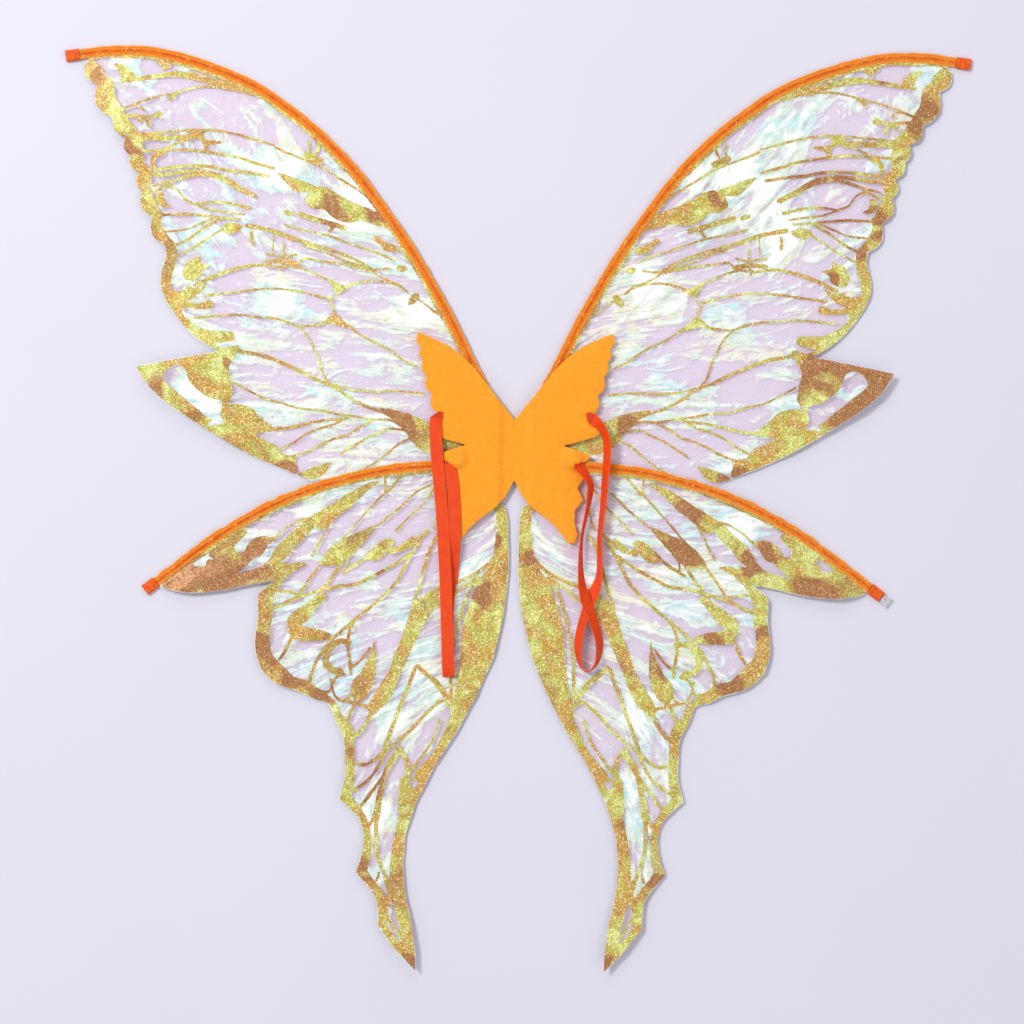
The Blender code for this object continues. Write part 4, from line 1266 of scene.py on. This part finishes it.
def thin_to_axis(middle, half, from_axis):
    """Thins the rear felt from below towards a fold axis, which leaves room for the fold."""
    top = middle + half
    bottom = np.maximum(middle - half, top - FELT_EDGE - from_axis / FOLD_SLOPE)
    return (top + bottom) / 2, (top - bottom) / 2


def felt_slab(name, plan, faces, middle, half, side, materials):
    """A piece of felt of half its thickness on each side of its middle surface."""
    faces, offset = slab(plan, faces, half)
    x, y = np.vstack([plan, plan]).T
    rows = to_row(x, y, np.concatenate([middle, middle]) + offset, side)
    return make_mesh(name, rows, facing_up(faces, side), materials["felt"])


def add_felt_half(layer, side_name, side, materials):
    """One half of a felt layer, pinched beside the crease and drooping a little at its rim."""
    lobes = [outline_of(f"{layer}_felt_{part}_right") for part in ("upper", "lower")]
    corners = np.vstack(lobes)
    grid = Grid(corners.min(0) - 3, corners.max(0) + 3, FELT_STEP)
    closing = 0.35  # closes the gap between the lobes
    grid.field = np.minimum(*[distance_inside(grid.x, grid.y, lobe) for lobe in lobes]) - closing
    plan, faces = grid.triangles()
    x, y = plan.T
    depth = distance_to_rim(x, y, lobes)
    open_z, pinched_z = FELT_HEIGHTS[layer]
    middle = pinched_z + (open_z - pinched_z) * smooth(x, *FELT_OPEN_X)
    seed = 500 + 10 * (layer == "rear") + (side > 0)
    if layer == "front":
        over_strap = spots(x, y, STRAP_LUMPS)
        droop = (1 - smooth(depth, 0, 11)) * smooth(x, 14, 30) * (1 - over_strap)
        middle = middle - FELT_RIM_DROOP * droop
        middle = middle + 0.28 * Noise(seed)(x / 15, y / 15) * smooth(x, 12, 22)
        middle = middle + STRAP_LUMP_HEIGHT * over_strap
    away = smooth(x, 8.5, 11)  # the layers meet flat beside the crease
    rim = smooth(depth, 0, 0.9) * away + (1 - away)
    half = FELT_THICK / 2 * (0.5 + 0.5 * rim) + 0.05 * Noise(seed + 2)(x / 3, y / 3)
    if layer == "rear":
        middle, half = thin_to_axis(middle, half, x - AXIS_X)
    name = f"felt_{layer}_{side_name}"
    felt = felt_slab(name, plan, faces, middle, half, side, materials)
    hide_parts(f"{layer}_felt_upper_{side_name}", f"{layer}_felt_lower_{side_name}")
    bend_pad(felt)


def add_felt_middle(layer, materials):
    """Strip of felt over the crease, between the two fold axes."""
    top, bottom, edge_top, edge_bottom = MIDDLE_CORNERS
    outline = np.array([
        (0, top), (-AXIS_X, edge_top), (-AXIS_X, edge_bottom), (0, bottom), (AXIS_X, edge_bottom),
        (AXIS_X, edge_top),
    ])  # fmt: skip
    grid = Grid(outline.min(0) - 2, outline.max(0) + 2, 0.8)
    grid.field = distance_inside(grid.x, grid.y, outline)
    plan, faces = grid.triangles()
    x, y = plan.T
    _, pinched_z = FELT_HEIGHTS[layer]
    groove = 0.3 * np.exp(-((x / 0.9) ** 2)) * (layer == "front")  # only the crease in front
    middle = pinched_z - groove + 0.05 * Noise(520)(x / 3, y / 3)
    half = np.full(len(plan), FELT_THICK / 2)
    if layer == "rear":
        middle, half = thin_to_axis(middle, half, AXIS_X - np.abs(x))
    strip = felt_slab(f"felt_{layer}_middle", plan, faces, middle, half, 1, materials)
    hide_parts(f"{layer}_felt_centre")
    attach(strip, "spine")


def add_crease_folds(materials):
    """Rolled felt along each fold axis, which keeps the pad closed when a wing folds."""
    rings, corners = 60, 16
    y = np.linspace(-41.0, 35.6, rings)
    turn = 2 * np.pi * np.arange(corners) / corners
    thin = np.sqrt(np.clip(1 - (np.abs(np.linspace(-1, 1, rings)) ** 30), 0.1, 1))[:, None]
    for side_name, side in SIDES:
        radius = FELT_ROLL_RADIUS * thin + 0.04 * Noise(530 + side)(y / 2, 0 * y)[:, None]
        x = AXIS_X + radius * np.cos(turn)
        z = AXIS_Z + radius * np.sin(turn)
        rows = to_row(x, y[:, None] + 0 * x, z, side).reshape(-1, 3)
        faces = ring_faces(rings, corners)
        faces = [face[::-1] for face in faces] if side < 0 else faces
        roll = make_mesh(f"felt_fold_{side_name}", rows, faces, materials["felt"])
        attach(roll, "spine")


# ---------------------------------------------------------------- straps


def strap_profile():
    """Across positions of the elastic's ring, and its half thickness there, thinner at its edges."""
    across, up = profile(15)
    off = np.abs(across)
    share = 0.80 + 0.20 * smooth(off, 0.55, 0.9) - 0.45 * smooth(off, 0.93, 1.0)
    return across, STRAP_THICK / 2 * share * up


def add_strap_root(name, start, tuck, width, side_name, materials):
    """A strap's folded end, which narrows to where it is tucked under the felt."""
    across, thick = strap_profile()
    share = np.array(ROOT_SHARES)[:, None]
    points = start * (1 - share) + np.array(tuck, float) * share
    line = curve_through(points + (0, 0, 0.5) * np.sin(share * math.pi), 6)
    place = np.linspace(0, len(ROOT_WIDTHS) - 1, len(line))
    half = np.interp(place, range(len(ROOT_WIDTHS)), np.array(ROOT_WIDTHS) * STRAP_WIDTH / 2)
    fold = np.linspace(0, 1, len(line))[:, None]
    level = np.array([math.copysign(1, width[0]), 0, 0])
    flat = unit(width * (1 - fold) + level * fold)
    normal = unit(np.cross(np.gradient(line, axis=0), flat))
    rings = line[:, None] + flat[:, None] * (half[:, None] * across)[..., None]
    rings = rings + normal[:, None] * (thick * 0.9)[None, :, None]
    distance = 0.5 * np.arange(len(line))
    name = f"elastic_root_{name}_{side_name}"
    # The folded end has a darker copy of the elastic: painted shade in the fold.
    root = skin(name, rings, across, distance, False, 1, materials["root"])
    bend_pad(root)
    return root


def add_strap(side_name, materials):
    """Flat elastic loop along the part's own route, tucked under the pad at both ends."""
    route, distance = spaced(curve_through(STRAPS[side_name], 10), STRAP_STEP)
    line, lean = route[:, :3], np.radians(route[:, 3])
    along = unit(np.gradient(line, axis=0))
    width = np.column_stack([np.cos(lean), 0 * lean, np.sin(lean)])
    width = unit(width - along * np.sum(width * along, axis=1)[:, None])
    depth = np.cross(along, width)
    across, thick = strap_profile()
    edge = 0.10 * Noise(600)(distance / 3, 0 * distance)[:, None] * np.abs(across)
    rings = line[:, None] + width[:, None] * ((STRAP_WIDTH / 2 + edge) * across)[..., None]
    rings = rings + depth[:, None] * thick[None, :, None]
    name = f"elastic_{side_name}"
    strap = skin(name, rings, across, distance, True, 1, materials["elastic"])
    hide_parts(f"strap_{side_name}")
    bend_pad(strap)
    for name, end, tuck in zip(("upper", "lower"), (0, -1), STRAP_TUCKS[side_name]):
        start = line[end] - depth[end] * 0.12
        add_strap_root(name, start, tuck, width[end], side_name, materials)


# ---------------------------------------------------------------- the whole object


def make_materials():
    """Every material by the name that the functions above ask for. Each film has its own."""
    materials = {
        "glitter": glitter_material("glitter_print"),
        "sleeve": sleeve_material(),
        "tab": tab_material(),
        "felt": felt_material(),
        "elastic": elastic_material("elastic_looks", (0.62, 0.030, 0.002), (0.90, 0.070, 0.004)),
        # A darker copy of the elastic for the folded ends: painted shade.
        "root": elastic_material("elastic_root_painted_shade", (0.42, 0.018, 0.002), (0.72, 0.045, 0.003)),
        "lining": lining_material(),
        "steel": steel_material(),
        "sleeve_thread": thread_material("sleeve_thread", (0.72, 0.15, 0.006), (0.95, 0.30, 0.02)),
        "strap_thread": thread_material("strap_thread", (0.42, 0.022, 0.004), (0.62, 0.045, 0.008)),
    }
    films = [f"film_{layer}_{side_name}" for layer in SPARS for side_name, _ in SIDES]
    for seed, name in enumerate(films):
        materials[name] = film_material(name, seed)
    return materials


def add_wing(layer, side_name, side, shapes, lines, materials):
    """Film, print, sleeve and tab of one wing. Its wire keeps its CAD shape with a new finish."""
    film, glitter = add_film(layer, side_name, side, *shapes, lines, materials)
    body = wing_body(layer, side_name)
    add_sleeve(layer, side_name, side, body, materials)
    add_tab(layer, side_name, side, body, materials)
    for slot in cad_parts[f"{layer}_wire_{side_name}"].material_slots:
        slot.link = "OBJECT"
        slot.material = materials["steel"]


def build():
    """Camera and straps first, then the stage, the wings and the pad."""
    add_camera()
    materials = make_materials()
    for side_name, _ in SIDES:
        add_strap(side_name, materials)
    add_stage()
    lines = {layer: spar_line(layer)[::6] for layer in SPARS}
    for layer in SPARS:
        outline = outline_of(f"{layer}_film_right")
        grids = film_grid(outline, FILM_STEP, layer, lines), print_grid(outline, layer, lines)
        shapes = [grid.triangles() for grid in grids]
        for side_name, side in SIDES:
            add_wing(layer, side_name, side, shapes, lines, materials)
    add_lining_end("right_lower_wing", materials)
    for layer in FELT_HEIGHTS:
        add_felt_middle(layer, materials)
        for side_name, side in SIDES:
            add_felt_half(layer, side_name, side, materials)
    add_crease_folds(materials)


build()
